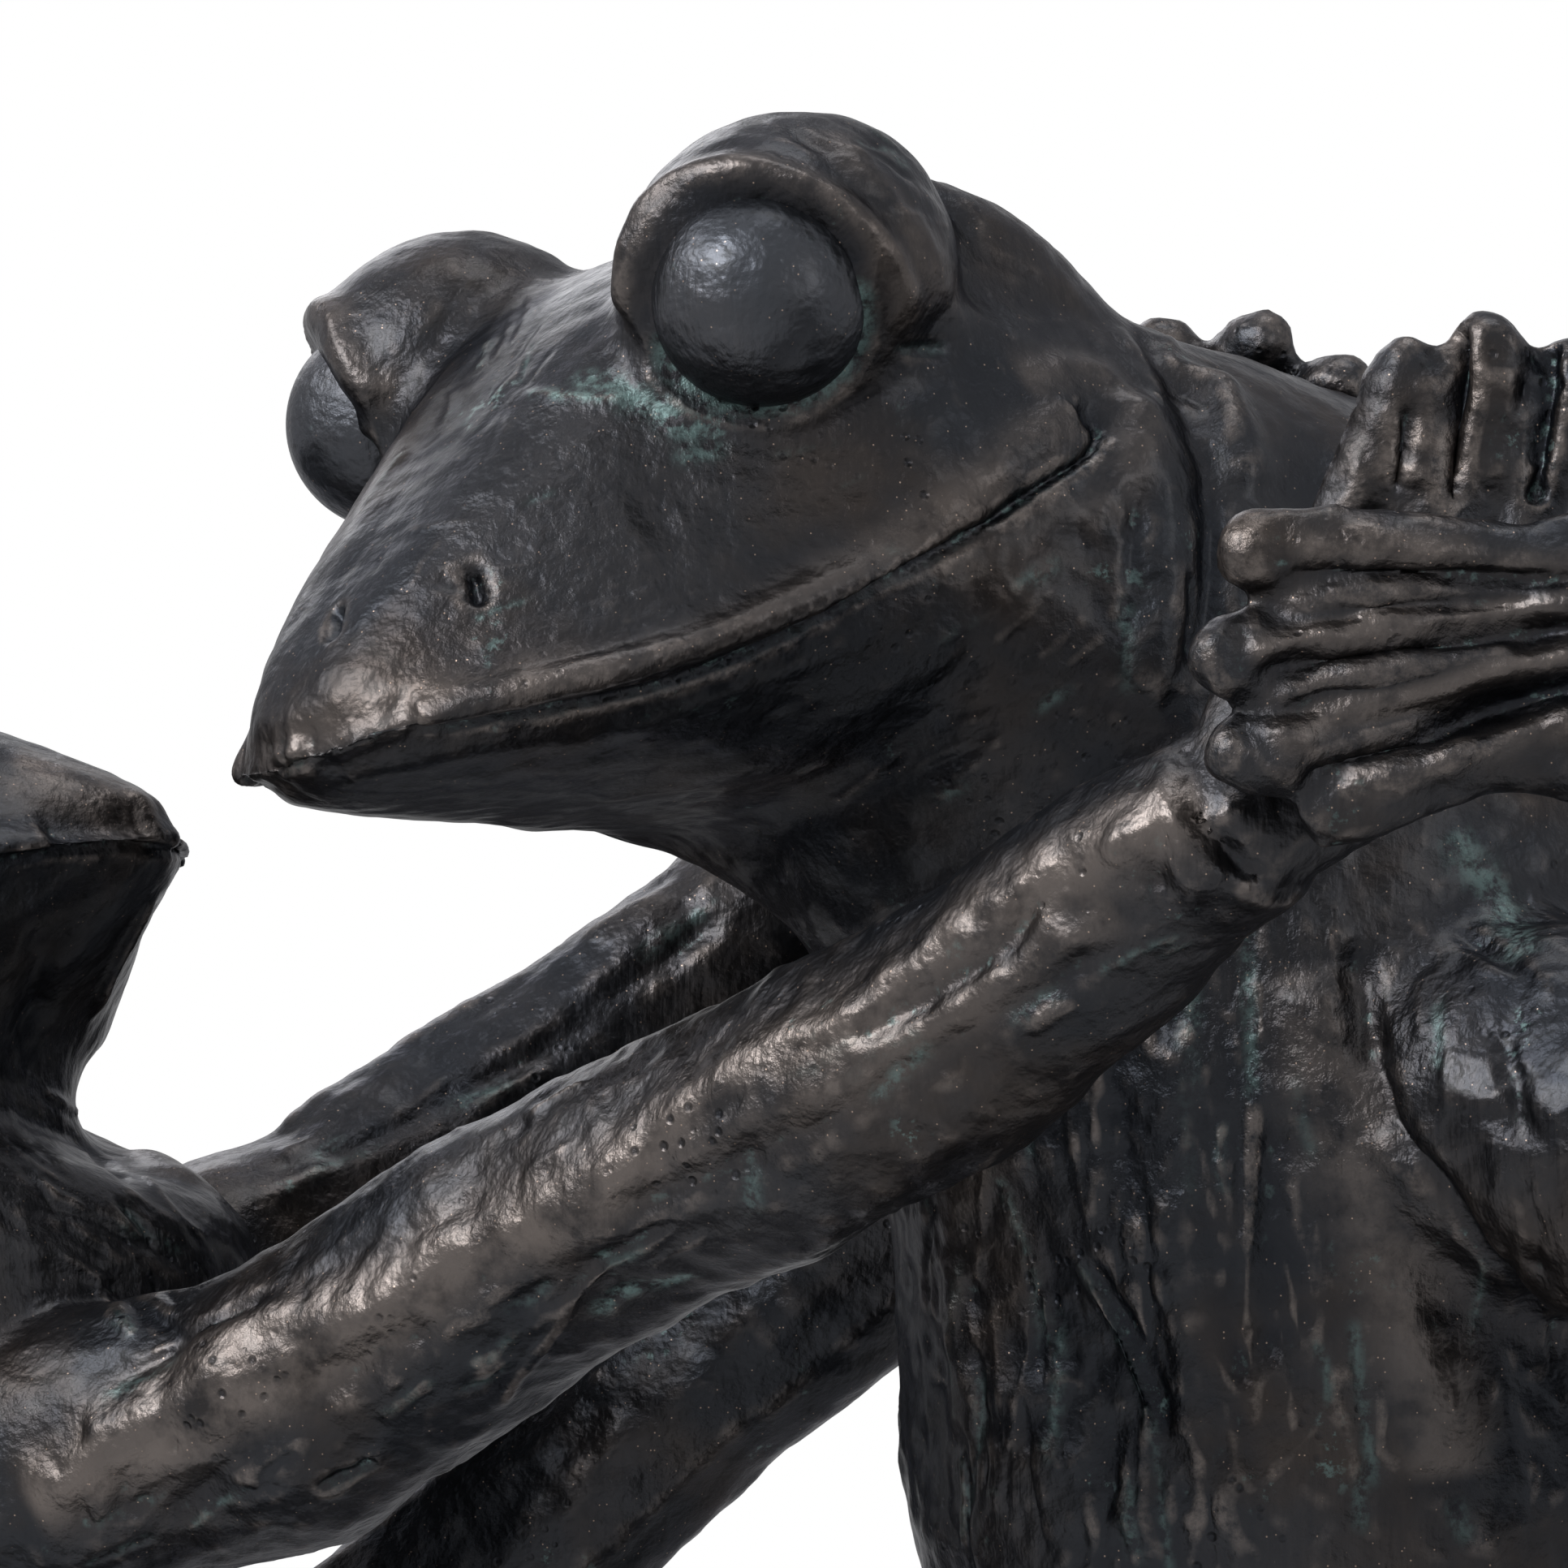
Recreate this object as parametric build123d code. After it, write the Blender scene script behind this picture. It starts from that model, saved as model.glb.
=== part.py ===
from build123d import *
import math
import os

# A pair of dancing frogs, cast in bronze-coloured resin and stood on an oval plinth.
# Lengths are millimetres, angles degrees. +Z is up, the frogs face each other along X,
# and their clasped hands reach towards -Y. The origin is the middle of the underside.

# Pose
figure_height = 500.0      # table to the taller frog's brow, which every place in the pose follows
leader_turn = 26.0         # how far the leader's chest turns from -X towards -Y
leader_head_turn = 42.5
leader_head_drop = 12.6    # snout down
leader_head_tilt = 10.7    # left side of the head up
follower_turn = 6.0        # how far the follower's chest turns from +X towards -Y
follower_head_turn = 22.0
follower_head_drop = -17.0
follower_head_tilt = -4.0

# Bodies
leader_chest_width = 76.0
leader_chest_depth = 78.0
follower_chest_width = 70.0
follower_chest_depth = 76.0

# Heads
leader_head_length = 77.0  # between the corners of the mouth and the tip of the snout
leader_head_width = 65.0
leader_head_height = 36.0  # mouth to crown
follower_head_length = 74.0
follower_head_width = 61.5
follower_head_height = 34.0
eye_radius = 9.8
eye_seat = 3.0             # the flat back lies this far behind the eye's centre
eye_clearance = 0.2        # round the eye, inside its socket
brow_radius = 13.6
brow_reach = 16.5          # the brow's half length, front to back
nape_radius = 10.0         # the swelling that runs from each brow down to the neck
nape_reach = 19.0
nostril_radius = 1.3
nostril_depth = 4.0
mouth_gap = 0.9            # height of the slit between the lips
mouth_depth = 2.2
mouth_drop = 1.2           # the slit lies this far under the edge of the upper lip

# Limbs
shoulder_radius = 14.5
near_shoulder_radius = 18.0  # the leader's left, which is drawn up
near_arm_share = 1.10      # how much fuller the follower's right arm is than the others
upper_arm_radius = 11.4
elbow_radius = 10.6
forearm_radius = 10.2
wrist_radius = 7.6
palm_width = 25.0
palm_thickness = 10.0
finger_radius = 3.5
finger_pad_radius = 3.8
hip_radius = 18.5
thigh_radius = 18.5
knee_radius = 12.8
calf_radius = 12.2
ankle_radius = 7.2
foot_length = 66.0
foot_spread = 46.0         # across the outer toe pads
foot_thickness = 9.0
toe_radius = 3.0
toe_pad_radius = 4.4
toe_thickness = 4.6
web_thickness = 2.6

# Plinth, and the steel that holds the castings together
plinth_length = 262.0
plinth_width = 168.0
plinth_thickness = 16.0
plinth_edge = 4.0          # bevel of the top edge
felt_thickness = 2.0
felt_inset = 3.0
rod_radius = 2.5
rod_depth = 11.0           # into the plinth
rod_rise = 26.0            # into the shin
dowel_radius = 2.0
dowel_length = 22.0
dowel_clearance = 0.1
overrun = 5.0              # how far a cutter runs past what it cuts

plinth_top = felt_thickness + plinth_thickness
up = Vector(0, 0, 1)


def place(share):
    """A point of the pose, from shares of the figure's height."""
    return Vector(*share) * figure_height


def facing(turn, ahead):
    """Level unit vector towards ahead (+1 or -1 along X), turned towards -Y."""
    return Vector(ahead * math.cos(math.radians(turn)), -math.sin(math.radians(turn)), 0)


def half_ellipse_ring(plane, half_width, half_depth):
    """An ellipse in two arcs that meet at its sides, as the head's sections do."""
    upper = EllipticalCenterArc((0, 0), half_width, half_depth, start_angle=0, arc_size=180)
    lower = EllipticalCenterArc((0, 0), half_width, half_depth, start_angle=180, arc_size=180)
    return plane * make_face([upper.edge(), lower.edge()])


def oval(plane, half_width, half_depth):
    """A plain ellipse, as a limb's or a body's slice."""
    return make_face(Edge.make_ellipse(half_width, half_depth, plane))


def section_plane(centre, forward, left, lean):
    """A plane across a body whose axis leans from vertical towards forward."""
    back_up = -forward * math.cos(math.radians(lean)) + up * math.sin(math.radians(lean))
    return Plane(origin=centre, x_dir=left, z_dir=left.cross(back_up))


# Stations up each body: place (shares of the height), half width and half depth
# (shares of the chest's own half sizes) and lean
leader_station_shares = [
    ((0.1260, 0.016, 0.458), 0.46, 0.40, 0),
    ((0.1260, 0.016, 0.482), 0.84, 0.74, 0),
    ((0.1230, 0.015, 0.532), 0.98, 0.90, 0),
    ((0.1130, 0.010, 0.628), 0.86, 0.81, 0),
    ((0.1020, 0.006, 0.705), 0.95, 0.94, 0),
    ((0.0990, 0.005, 0.780), 1.00, 1.00, 4),
    ((0.0930, 0.004, 0.826), 1.00, 1.01, 15),
    ((0.0760, 0.002, 0.868), 0.93, 0.99, 30),
    ((0.0540, 0.000, 0.897), 0.84, 0.95, 42),
]
follower_station_shares = [
    ((-0.1760, 0.010, 0.456), 0.46, 0.40, 0),
    ((-0.1760, 0.010, 0.480), 0.84, 0.74, 0),
    ((-0.1800, 0.012, 0.530), 0.98, 0.90, 0),
    ((-0.1840, 0.014, 0.615), 0.86, 0.81, 0),
    ((-0.1810, 0.016, 0.695), 0.92, 0.93, 0),
    ((-0.1750, 0.018, 0.756), 1.00, 0.99, 2),
    ((-0.1740, 0.018, 0.792), 0.98, 1.00, 6),
    ((-0.1800, 0.018, 0.818), 0.84, 0.96, 15),
    ((-0.1920, 0.018, 0.836), 0.74, 0.90, 27),
]


def body_planes(shares, turn, ahead, width, depth):
    """Each station's plane and half sizes."""
    forward = facing(turn, ahead)
    left = up.cross(forward)
    return [
        (section_plane(place(spot), forward, left, lean), wide * width / 2, deep * depth / 2)
        for spot, wide, deep, lean in shares
    ]


leader_stations = body_planes(
    leader_station_shares, leader_turn, -1, leader_chest_width, leader_chest_depth)
follower_stations = body_planes(
    follower_station_shares, follower_turn, 1, follower_chest_width, follower_chest_depth)


def torso(stations):
    return loft([oval(*station) for station in stations])


class Head:
    """A frog's head in its own axes: ahead to the snout, left, and up from the mouth."""

    def __init__(self, origin, turn, drop, tilt, ahead, length, width, height):
        level = facing(turn, ahead)
        side = up.cross(level)
        drop, tilt = math.radians(drop), math.radians(tilt)
        rise = up * math.cos(drop) + level * math.sin(drop)
        self.ahead = level * math.cos(drop) - up * math.sin(drop)
        self.left = side * math.cos(tilt) + rise * math.sin(tilt)
        self.up = rise * math.cos(tilt) - side * math.sin(tilt)
        self.origin = origin
        self.length, self.half_width, self.height = length, width / 2, height

    def point(self, ahead, left, rise):
        """A point from shares of the head's length, half width and height."""
        return (self.origin + self.ahead * (ahead * self.length)
                + self.left * (left * self.half_width) + self.up * (rise * self.height))

    def section(self, top, bottom, half_share, lip, cheek, jaw):
        """A slice between a crown point and a chin point, with a corner at each lip."""
        crown = self.point(top[0], 0, top[1])
        chin = self.point(bottom[0], 0, bottom[1])
        rise = (crown - chin).normalized()
        tall = (crown - chin).length
        plane = Plane(origin=chin + rise * (lip * tall), x_dir=self.left,
                      z_dir=self.left.cross(rise))
        half = half_share * self.half_width
        above, below = tall * (1 - lip), tall * lip
        upper = Spline((half, 0), (half * cheek, above * 0.52), (half * cheek * 0.66, above * 0.9),
                       (0, above), (-half * cheek * 0.66, above * 0.9),
                       (-half * cheek, above * 0.52), (-half, 0))
        lower = Spline((-half, 0), (-half * jaw, -below * 0.6), (0, -below),
                       (half * jaw, -below * 0.6), (half, 0))
        return plane * make_face([upper.edge(), lower.edge()])


leader_head_frame = Head(
    place((0.0206, 0.0, 0.9124)), leader_head_turn, leader_head_drop, leader_head_tilt, -1,
    leader_head_length, leader_head_width, leader_head_height)
follower_head_frame = Head(
    place((-0.2454, 0.044, 0.8236)), follower_head_turn, follower_head_drop, follower_head_tilt, 1,
    follower_head_length, follower_head_width, follower_head_height)

# Slices from the snout back: crown (ahead, up), chin (ahead, up), half width, where the lip
# lies between chin and crown, and how full the cheek and the jaw are
leader_slice_shares = [
    ((0.965, 0.08), (0.960, -0.08), 0.17, 0.50, 0.82, 0.72),
    ((0.915, 0.20), (0.920, -0.14), 0.36, 0.43, 0.77, 0.73),
    ((0.820, 0.36), (0.820, -0.22), 0.57, 0.38, 0.72, 0.74),
    ((0.690, 0.54), (0.685, -0.29), 0.75, 0.34, 0.73, 0.76),
    ((0.525, 0.76), (0.540, -0.36), 0.89, 0.33, 0.77, 0.80),
    ((0.360, 0.92), (0.420, -0.43), 0.98, 0.35, 0.84, 0.84),
    ((0.130, 1.00), (0.330, -0.52), 1.03, 0.42, 0.92, 0.90),
]
follower_slice_shares = [
    ((0.990, 0.07), (0.985, -0.09), 0.14, 0.50, 0.80, 0.70),
    ((0.930, 0.19), (0.950, -0.16), 0.36, 0.44, 0.76, 0.72),
    ((0.820, 0.36), (0.890, -0.24), 0.57, 0.40, 0.72, 0.74),
    ((0.690, 0.54), (0.845, -0.31), 0.75, 0.36, 0.73, 0.76),
    ((0.525, 0.76), (0.805, -0.37), 0.89, 0.33, 0.77, 0.80),
    ((0.360, 0.92), (0.770, -0.43), 0.98, 0.33, 0.84, 0.84),
    ((0.130, 1.00), (0.735, -0.52), 1.03, 0.40, 0.92, 0.90),
]

# Places on a head: shares of its length, half width and height
eye_shares = (0.395, 0.83, 0.74)
brow_shares = (0.310, 0.74, 0.80)
nape_shares = (-0.010, 0.59, 0.555)
nape_slope = 45.0          # how steeply the nape's swelling falls away behind the brow, in degrees
nostril_shares = (0.735, 0.31, 0.30)


def eyeball(head, side, growth=0.0):
    """A ball with a flat back. Grown by the clearance, it is the socket's cutter."""
    centre = head.point(eye_shares[0], side * eye_shares[1], eye_shares[2])
    outward = head.left * side + head.ahead * 0.5 + head.up * 0.25
    ball = split(Sphere(eye_radius + growth), Plane.XY.offset(-eye_seat), keep=Keep.TOP)
    return Plane(origin=centre, x_dir=head.up, z_dir=outward.normalized()) * ball


def dome(centre, along, top, radius, reach):
    """A ball stretched along one direction, with its top towards another."""
    ball = Solid.make_sphere(radius, angle1=-90, angle2=90)
    stretched = ball.transform_geometry(Matrix([
        [reach / radius, 0, 0, 0], [0, 1, 0, 0], [0, 0, 1, 0]]))
    return Plane(origin=centre, x_dir=along, z_dir=top) * stretched


def brow(head, side):
    """The hood over one eye: a dome longer than it is wide."""
    centre = head.point(brow_shares[0], side * brow_shares[1], brow_shares[2])
    return dome(centre, head.ahead, head.up, brow_radius, brow_reach)


def nape(head, side):
    """The swelling that carries the line of a brow down into the neck."""
    centre = head.point(nape_shares[0], side * nape_shares[1], nape_shares[2])
    fall = math.radians(nape_slope)
    along = head.ahead * math.cos(fall) + head.up * math.sin(fall)
    top = head.up * math.cos(fall) - head.ahead * math.sin(fall)
    return dome(centre, along, top, nape_radius, nape_reach)


def lip_line(slices):
    """Where the lips meet, as shares ahead and up, from the corner forwards."""
    line = []
    for crown, chin, _, lip, _, _ in reversed(slices):
        line.append((chin[0] + (crown[0] - chin[0]) * lip, chin[1] + (crown[1] - chin[1]) * lip))
    return line


def mouth_slit(head, slices):
    """The slit under the upper lip: a thin ribbon across the head, kept to its rim."""
    lips = lip_line(slices)
    line = [(ahead * head.length, rise * head.height - mouth_drop) for ahead, rise in lips]
    line = [(line[0][0] - mouth_depth, line[0][1])] + line + [(line[-1][0] + overrun, line[-1][1])]
    top = Spline(*[(x, y + mouth_gap / 2) for x, y in line])
    bottom = Spline(*[(x, y - mouth_gap / 2) for x, y in reversed(line)])
    front = Line(top @ 1, bottom @ 0)
    back = Line(bottom @ 1, top @ 0)
    side_view = Plane(origin=head.origin, x_dir=head.ahead, z_dir=-head.left)
    ribbon = extrude(side_view * make_face([top.edge(), front.edge(), bottom.edge(), back.edge()]),
                     amount=head.half_width + overrun, both=True)
    rim = [(ahead * head.length - mouth_depth, slice_[2] * head.half_width - mouth_depth)
           for (ahead, _), slice_ in zip(lips, reversed(slices))]
    rim = [(rim[0][0] - head.length, rim[0][1])] + rim[:-1]
    edge = Spline(*rim, (head.length - 2 * mouth_depth, 0), *[(x, -y) for x, y in reversed(rim)])
    inside = make_face([edge.edge(), Line(edge @ 1, edge @ 0).edge()])
    plan = Plane(origin=head.origin, x_dir=head.ahead, z_dir=head.up)
    return ribbon - extrude(plan * inside, amount=2 * head.height, both=True)


def head(frame, slices, neck):
    """Skull and neck with hooded sockets, nostrils and the slit of the mouth."""
    skull = loft([frame.section(*slice_) for slice_ in reversed(slices)])
    skull -= mouth_slit(frame, slices)
    throat = loft([half_ellipse_ring(*neck), frame.section(*slices[-1])])
    skull += throat
    for side in (1, -1):
        skull += nape(frame, side)
        skull += brow(frame, side)
    for side in (1, -1):
        skull -= eyeball(frame, side, eye_clearance)
        spot = frame.point(nostril_shares[0], side * nostril_shares[1], nostril_shares[2])
        outward = (frame.up + frame.left * (side * 0.7)).normalized()
        skull -= Plane(origin=spot, z_dir=outward) * Cylinder(nostril_radius, 2 * nostril_depth)
    return skull


def run_planes(points, across):
    """A plane at each point of a path, square to it and turned as little as may be."""
    planes = []
    for i, point in enumerate(points):
        before, after = points[max(i - 1, 0)], points[min(i + 1, len(points) - 1)]
        along = (after - before).normalized()
        across = (across - along * across.dot(along)).normalized()
        planes.append(Plane(origin=point, x_dir=across, z_dir=along))
    return planes


def rings_along(points, sizes, across):
    """An oval at each point. A size is a radius, or a half width and half thickness."""
    rings = []
    for plane, size in zip(run_planes(points, across), sizes):
        wide, thick = size if isinstance(size, tuple) else (size, size)
        rings.append(oval(plane, wide, thick))
    return rings


def limb(points, sizes, across=up):
    return loft(rings_along(points, sizes, across))


def jointed_limb(points, sizes, seam_at, across=up):
    """A limb in two: the stub that stays with the body and the rest, flat where they meet."""
    rings = rings_along(points, sizes, across)
    seam = run_planes(points, across)[seam_at]
    return loft(rings[:seam_at + 1]), loft(rings[seam_at:]), seam


def finger(base, tip, radius, pad_radius):
    """A slim finger that swells to a pad near its end, turned from one profile."""
    along = (tip - base).normalized()
    length = (tip - base).length
    outline = Polyline((0, 0), (radius, 0), (radius * 0.92, length - 2.4 * pad_radius),
                       (pad_radius, length - 1.1 * pad_radius), (pad_radius * 0.8, length - 0.4 * pad_radius),
                       (pad_radius * 0.4, length), (0, length), close=True)
    return Plane(origin=base, z_dir=along) * revolve(Plane.XZ * make_face(outline), Axis.Z)


def hand(wrist, knuckles, across, tips, thumb_tip):
    """Palm, three fingers and a thumb. across runs along the knuckles."""
    reach = knuckles - wrist
    normal = reach.cross(across).normalized()
    across = normal.cross(reach).normalized()
    half, thick = palm_width / 2, palm_thickness / 2
    palm = limb([wrist - reach * 0.10, wrist + reach * 0.35, wrist + reach * 0.8, knuckles],
                [(wrist_radius * 0.86, wrist_radius * 0.8), (half * 0.82, thick * 1.05),
                 (half * 1.0, thick * 0.92), (half * 0.9, thick * 0.55)], across)
    gap = (palm_width - 2 * finger_radius) / (len(tips) - 1)
    for i, tip in enumerate(tips):
        offset = half - finger_radius - i * gap
        base = knuckles - reach * 0.35 + across * (offset * 0.9)
        palm += finger(base, tip, finger_radius, finger_pad_radius)
    return palm + finger(wrist + reach * 0.3, thumb_tip, finger_radius, finger_pad_radius)


def arm_sizes(shoulder, fullness):
    """An arm's radius at each of its points, from the one inside the body to the wrist."""
    below = [upper_arm_radius, upper_arm_radius, elbow_radius, forearm_radius * 1.04,
             forearm_radius * 0.9, wrist_radius]
    return [shoulder, shoulder * 0.92] + [radius * fullness for radius in below]


arm_seam_at = 2            # which point of an arm its glue seam is at
leg_seam_at = 1

# Arms: the points from inside the shoulder to the wrist
leader_left_arm_shares = [(0.112, -0.024, 0.820), (0.144, -0.068, 0.812), (0.180, -0.096, 0.790),
                          (0.212, -0.116, 0.766), (0.232, -0.138, 0.766), (0.228, -0.162, 0.806),
                          (0.206, -0.180, 0.856), (0.178, -0.190, 0.892)]
leader_right_arm_shares = [(0.088, 0.044, 0.828), (0.066, 0.086, 0.824), (0.028, 0.104, 0.796),
                           (-0.012, 0.110, 0.761), (-0.052, 0.112, 0.724), (-0.092, 0.112, 0.694),
                           (-0.132, 0.110, 0.672), (-0.168, 0.106, 0.660)]
follower_right_arm_shares = [(-0.172, -0.008, 0.732), (-0.130, -0.040, 0.750),
                             (-0.094, -0.058, 0.761), (-0.062, -0.078, 0.781),
                             (-0.028, -0.100, 0.803), (0.014, -0.130, 0.823),
                             (0.054, -0.160, 0.851), (0.076, -0.180, 0.869)]
follower_left_arm_shares = [(-0.168, 0.052, 0.752), (-0.126, 0.084, 0.768), (-0.088, 0.104, 0.787),
                            (-0.052, 0.118, 0.808), (-0.018, 0.128, 0.834), (0.012, 0.130, 0.864),
                            (0.044, 0.116, 0.894), (0.070, 0.092, 0.920)]

# Hands: knuckles, the run of the knuckles, three finger ends and the thumb's end
leader_left_hand_shares = (
    (0.122, -0.198, 0.896), (0, 0, 1),
    [(0.073, -0.202, 0.912), (0.068, -0.204, 0.895), (0.071, -0.203, 0.879)],
    (0.084, -0.199, 0.868))
leader_right_hand_shares = (
    (-0.208, 0.094, 0.654), (0, 0, 1),
    [(-0.246, 0.070, 0.674), (-0.254, 0.062, 0.652), (-0.248, 0.064, 0.630)],
    (-0.204, 0.084, 0.692))
follower_right_hand_shares = (
    (0.114, -0.172, 0.906), (-1, 0, 0),
    [(0.106, -0.170, 0.948), (0.120, -0.170, 0.952), (0.134, -0.170, 0.949)],
    (0.084, -0.164, 0.906))
follower_left_hand_shares = (
    (0.088, 0.062, 0.940), (-1, 0, 0.4),
    [(0.093, 0.030, 0.959), (0.107, 0.024, 0.950), (0.119, 0.030, 0.938)],
    (0.072, 0.044, 0.960))


def arm(shares, hand_shares, shoulder=shoulder_radius, fullness=1.0):
    """Stub, arm with its hand, and the seam between them."""
    points = [place(share) for share in shares]
    knuckles, across, tips, thumb_tip = hand_shares
    fingers = hand(points[-1], place(knuckles), Vector(*across), [place(tip) for tip in tips],
                   place(thumb_tip))
    stub, rest, seam = jointed_limb(points, arm_sizes(shoulder, fullness), arm_seam_at)
    return stub, rest + fingers, seam


# Legs: the points from inside the hip to the ankle, and the way each foot points
leader_left_leg_shares = [(0.134, -0.010, 0.530), (0.139, -0.046, 0.456), (0.130, -0.066, 0.380),
                          (0.114, -0.070, 0.305), (0.130, -0.064, 0.222), (0.140, -0.056, 0.140),
                          (0.142, -0.050, 0.072)]
leader_right_leg_shares = [(0.110, 0.042, 0.530), (0.094, 0.068, 0.456), (0.066, 0.078, 0.388),
                           (0.040, 0.080, 0.318), (0.048, 0.076, 0.230), (0.058, 0.070, 0.145),
                           (0.060, 0.068, 0.072)]
follower_right_leg_shares = [(-0.172, -0.022, 0.526), (-0.162, -0.056, 0.452),
                             (-0.136, -0.068, 0.382), (-0.110, -0.068, 0.312),
                             (-0.124, -0.064, 0.222), (-0.138, -0.060, 0.140),
                             (-0.140, -0.058, 0.072)]
follower_left_leg_shares = [(-0.178, 0.042, 0.526), (-0.180, 0.074, 0.452),
                            (-0.168, 0.090, 0.378), (-0.154, 0.092, 0.302),
                            (-0.178, 0.088, 0.220), (-0.200, 0.082, 0.138),
                            (-0.206, 0.078, 0.072)]
leg_sizes = [hip_radius, thigh_radius, thigh_radius * 0.88, knee_radius, calf_radius,
             ankle_radius * 1.12, ankle_radius, ankle_radius * 1.25]
leader_left_foot_turn = 34.0
leader_right_foot_turn = 12.0
follower_right_foot_turn = 14.0
follower_left_foot_turn = -6.0

# A foot in its own axes: stations of the instep and the toe ends, as shares of its length
# and spread, with the instep's half width and half thickness as shares of the ankle's radius
instep_shares = [(-0.17, 0.60, 0.45), (-0.04, 1.30, 0.85), (0.16, 1.25, 0.95), (0.40, 1.35, 0.60),
                 (0.56, 1.30, 0.35)]
toe_shares = [(0.74, -0.50), (0.97, -0.18), (1.00, 0.17), (0.80, 0.50)]
toe_root_share = 0.22      # where the toes spring from
web_share = 0.84           # how far out along the toes the web reaches


def toes_and_web():
    """Four toes that widen to round pads, and the thinner web between them, lying on XY."""
    root = Vector(toe_root_share * foot_length, 0)
    ends = [Vector(ahead * foot_length, across * foot_spread) for ahead, across in toe_shares]
    toes = []
    for end in ends:
        circles = (Pos(*root) * Circle(toe_radius)).edges() + (Pos(*end) * Circle(toe_pad_radius)).edges()
        toes.append(extrude(make_hull(circles), toe_thickness))
    rims = [root + (end - root) * web_share for end in ends]
    border = [Line(root, rims[0]).edge()]
    for here, there in zip(rims, rims[1:]):
        scallop = root + ((here + there) / 2 - root) * 0.9
        border.append(ThreePointArc(here, scallop, there).edge())
    border.append(Line(rims[-1], root).edge())
    return toes + [extrude(make_face(border), web_thickness)]


def leg(shares, turn, ahead):
    """Stub, leg with its webbed foot flat on the plinth, and the seam between them."""
    direction = facing(turn, ahead)
    side = up.cross(direction)
    points = [place(share) for share in shares]
    floor = Vector(points[-1].X, points[-1].Y, plinth_top)
    points.append(floor - up * foot_thickness / 2)
    stub, rest, seam = jointed_limb(points, leg_sizes, leg_seam_at, side)
    instep = [floor + direction * (along * foot_length) + up * (ankle_radius * thick * 0.5)
              for along, _, thick in instep_shares]
    rest += limb(instep, [(ankle_radius * wide, ankle_radius * thick) for _, wide, thick in instep_shares],
                 side)
    below = Pos(floor.X, floor.Y, plinth_top - plinth_thickness) * Box(
        3 * foot_length, 3 * foot_length, 2 * plinth_thickness)
    rest -= below
    for piece in toes_and_web():
        rest += Plane(origin=floor, x_dir=direction, z_dir=up) * piece
    return stub, rest, seam


def peg(plane, radius, length):
    """A pin centred on a seam and square to it."""
    return plane * Cylinder(radius, length)


def ankle_places():
    """Where the rods stand: under each ankle, at table height."""
    ankles = [shares[-1] for shares in (leader_left_leg_shares, leader_right_leg_shares,
                                        follower_left_leg_shares, follower_right_leg_shares)]
    return [Pos(place(ankle).X, place(ankle).Y, 0) for ankle in ankles]


def plinth():
    """An oval slab, bevelled along its top edge, with a blind hole for each rod."""
    slab = extrude(Plane.XY.offset(felt_thickness) * Ellipse(plinth_length / 2, plinth_width / 2),
                   plinth_thickness)
    slab = chamfer(slab.edges().group_by(Axis.Z)[-1], plinth_edge)
    hole = Pos(0, 0, plinth_top) * Cylinder(rod_radius + dowel_clearance, 2 * rod_depth)
    for spot in ankle_places():
        slab -= spot * hole
    return slab


def felt():
    half_length, half_width = plinth_length / 2 - felt_inset, plinth_width / 2 - felt_inset
    return extrude(Ellipse(half_length, half_width), felt_thickness)


def rods():
    """The steel rods cast into the shins, which stand in the plinth's holes."""
    rod = Pos(0, 0, plinth_top - rod_depth) * Cylinder(
        rod_radius, rod_depth + rod_rise, align=(Align.CENTER, Align.CENTER, Align.MIN))
    return [spot * rod for spot in ankle_places()]


def build():
    parts = {"plinth": plinth(), "felt_sheet": felt()}
    plans = {
        "leader": (leader_stations, leader_head_frame, leader_slice_shares),
        "follower": (follower_stations, follower_head_frame, follower_slice_shares),
    }
    limbs = {
        "leader_left_arm": arm(leader_left_arm_shares, leader_left_hand_shares, near_shoulder_radius),
        "leader_right_arm": arm(leader_right_arm_shares, leader_right_hand_shares),
        "follower_left_arm": arm(follower_left_arm_shares, follower_left_hand_shares),
        "follower_right_arm": arm(follower_right_arm_shares, follower_right_hand_shares,
                                  fullness=near_arm_share),
        "leader_left_leg": leg(leader_left_leg_shares, leader_left_foot_turn, -1),
        "leader_right_leg": leg(leader_right_leg_shares, leader_right_foot_turn, -1),
        "follower_left_leg": leg(follower_left_leg_shares, follower_left_foot_turn, 1),
        "follower_right_leg": leg(follower_right_leg_shares, follower_right_foot_turn, 1),
    }
    pins = {"shoulder_pins": [], "hip_pins": [], "neck_pins": [], "leg_rods": rods()}
    for frog, (stations, frame, slices) in plans.items():
        body = torso(stations)
        for name, (stub, rest, seam) in limbs.items():
            if name.startswith(frog):
                hole = peg(seam, dowel_radius + dowel_clearance, dowel_length + dowel_clearance)
                body = body + stub - hole
                parts[name] = rest - hole
                if name.endswith("leg"):
                    parts[name] -= rods()
                pins["hip_pins" if name.endswith("leg") else "shoulder_pins"].append(
                    peg(seam, dowel_radius, dowel_length))
        neck = stations[-1][0]
        hole = peg(neck, dowel_radius + dowel_clearance, dowel_length + dowel_clearance)
        pins["neck_pins"].append(peg(neck, dowel_radius, dowel_length))
        parts[f"{frog}_torso"] = body - hole
        parts[f"{frog}_head"] = head(frame, slices, stations[-1]) - hole
        for side, word in ((1, "left"), (-1, "right")):
            parts[f"{frog}_{word}_eye"] = eyeball(frame, side)
    parts["follower_left_arm"] -= parts["leader_torso"]
    parts["follower_left_arm"] -= parts["leader_head"]
    parts["leader_right_arm"] -= parts["follower_torso"]
    for name, group in pins.items():
        parts[name] = Compound(children=group)
    return parts


if __name__ == "__main__":
    os.makedirs("parts", exist_ok=True)
    for name, shape in build().items():
        export_step(shape, f"parts/{name}.step")
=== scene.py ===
import math
import random

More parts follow.
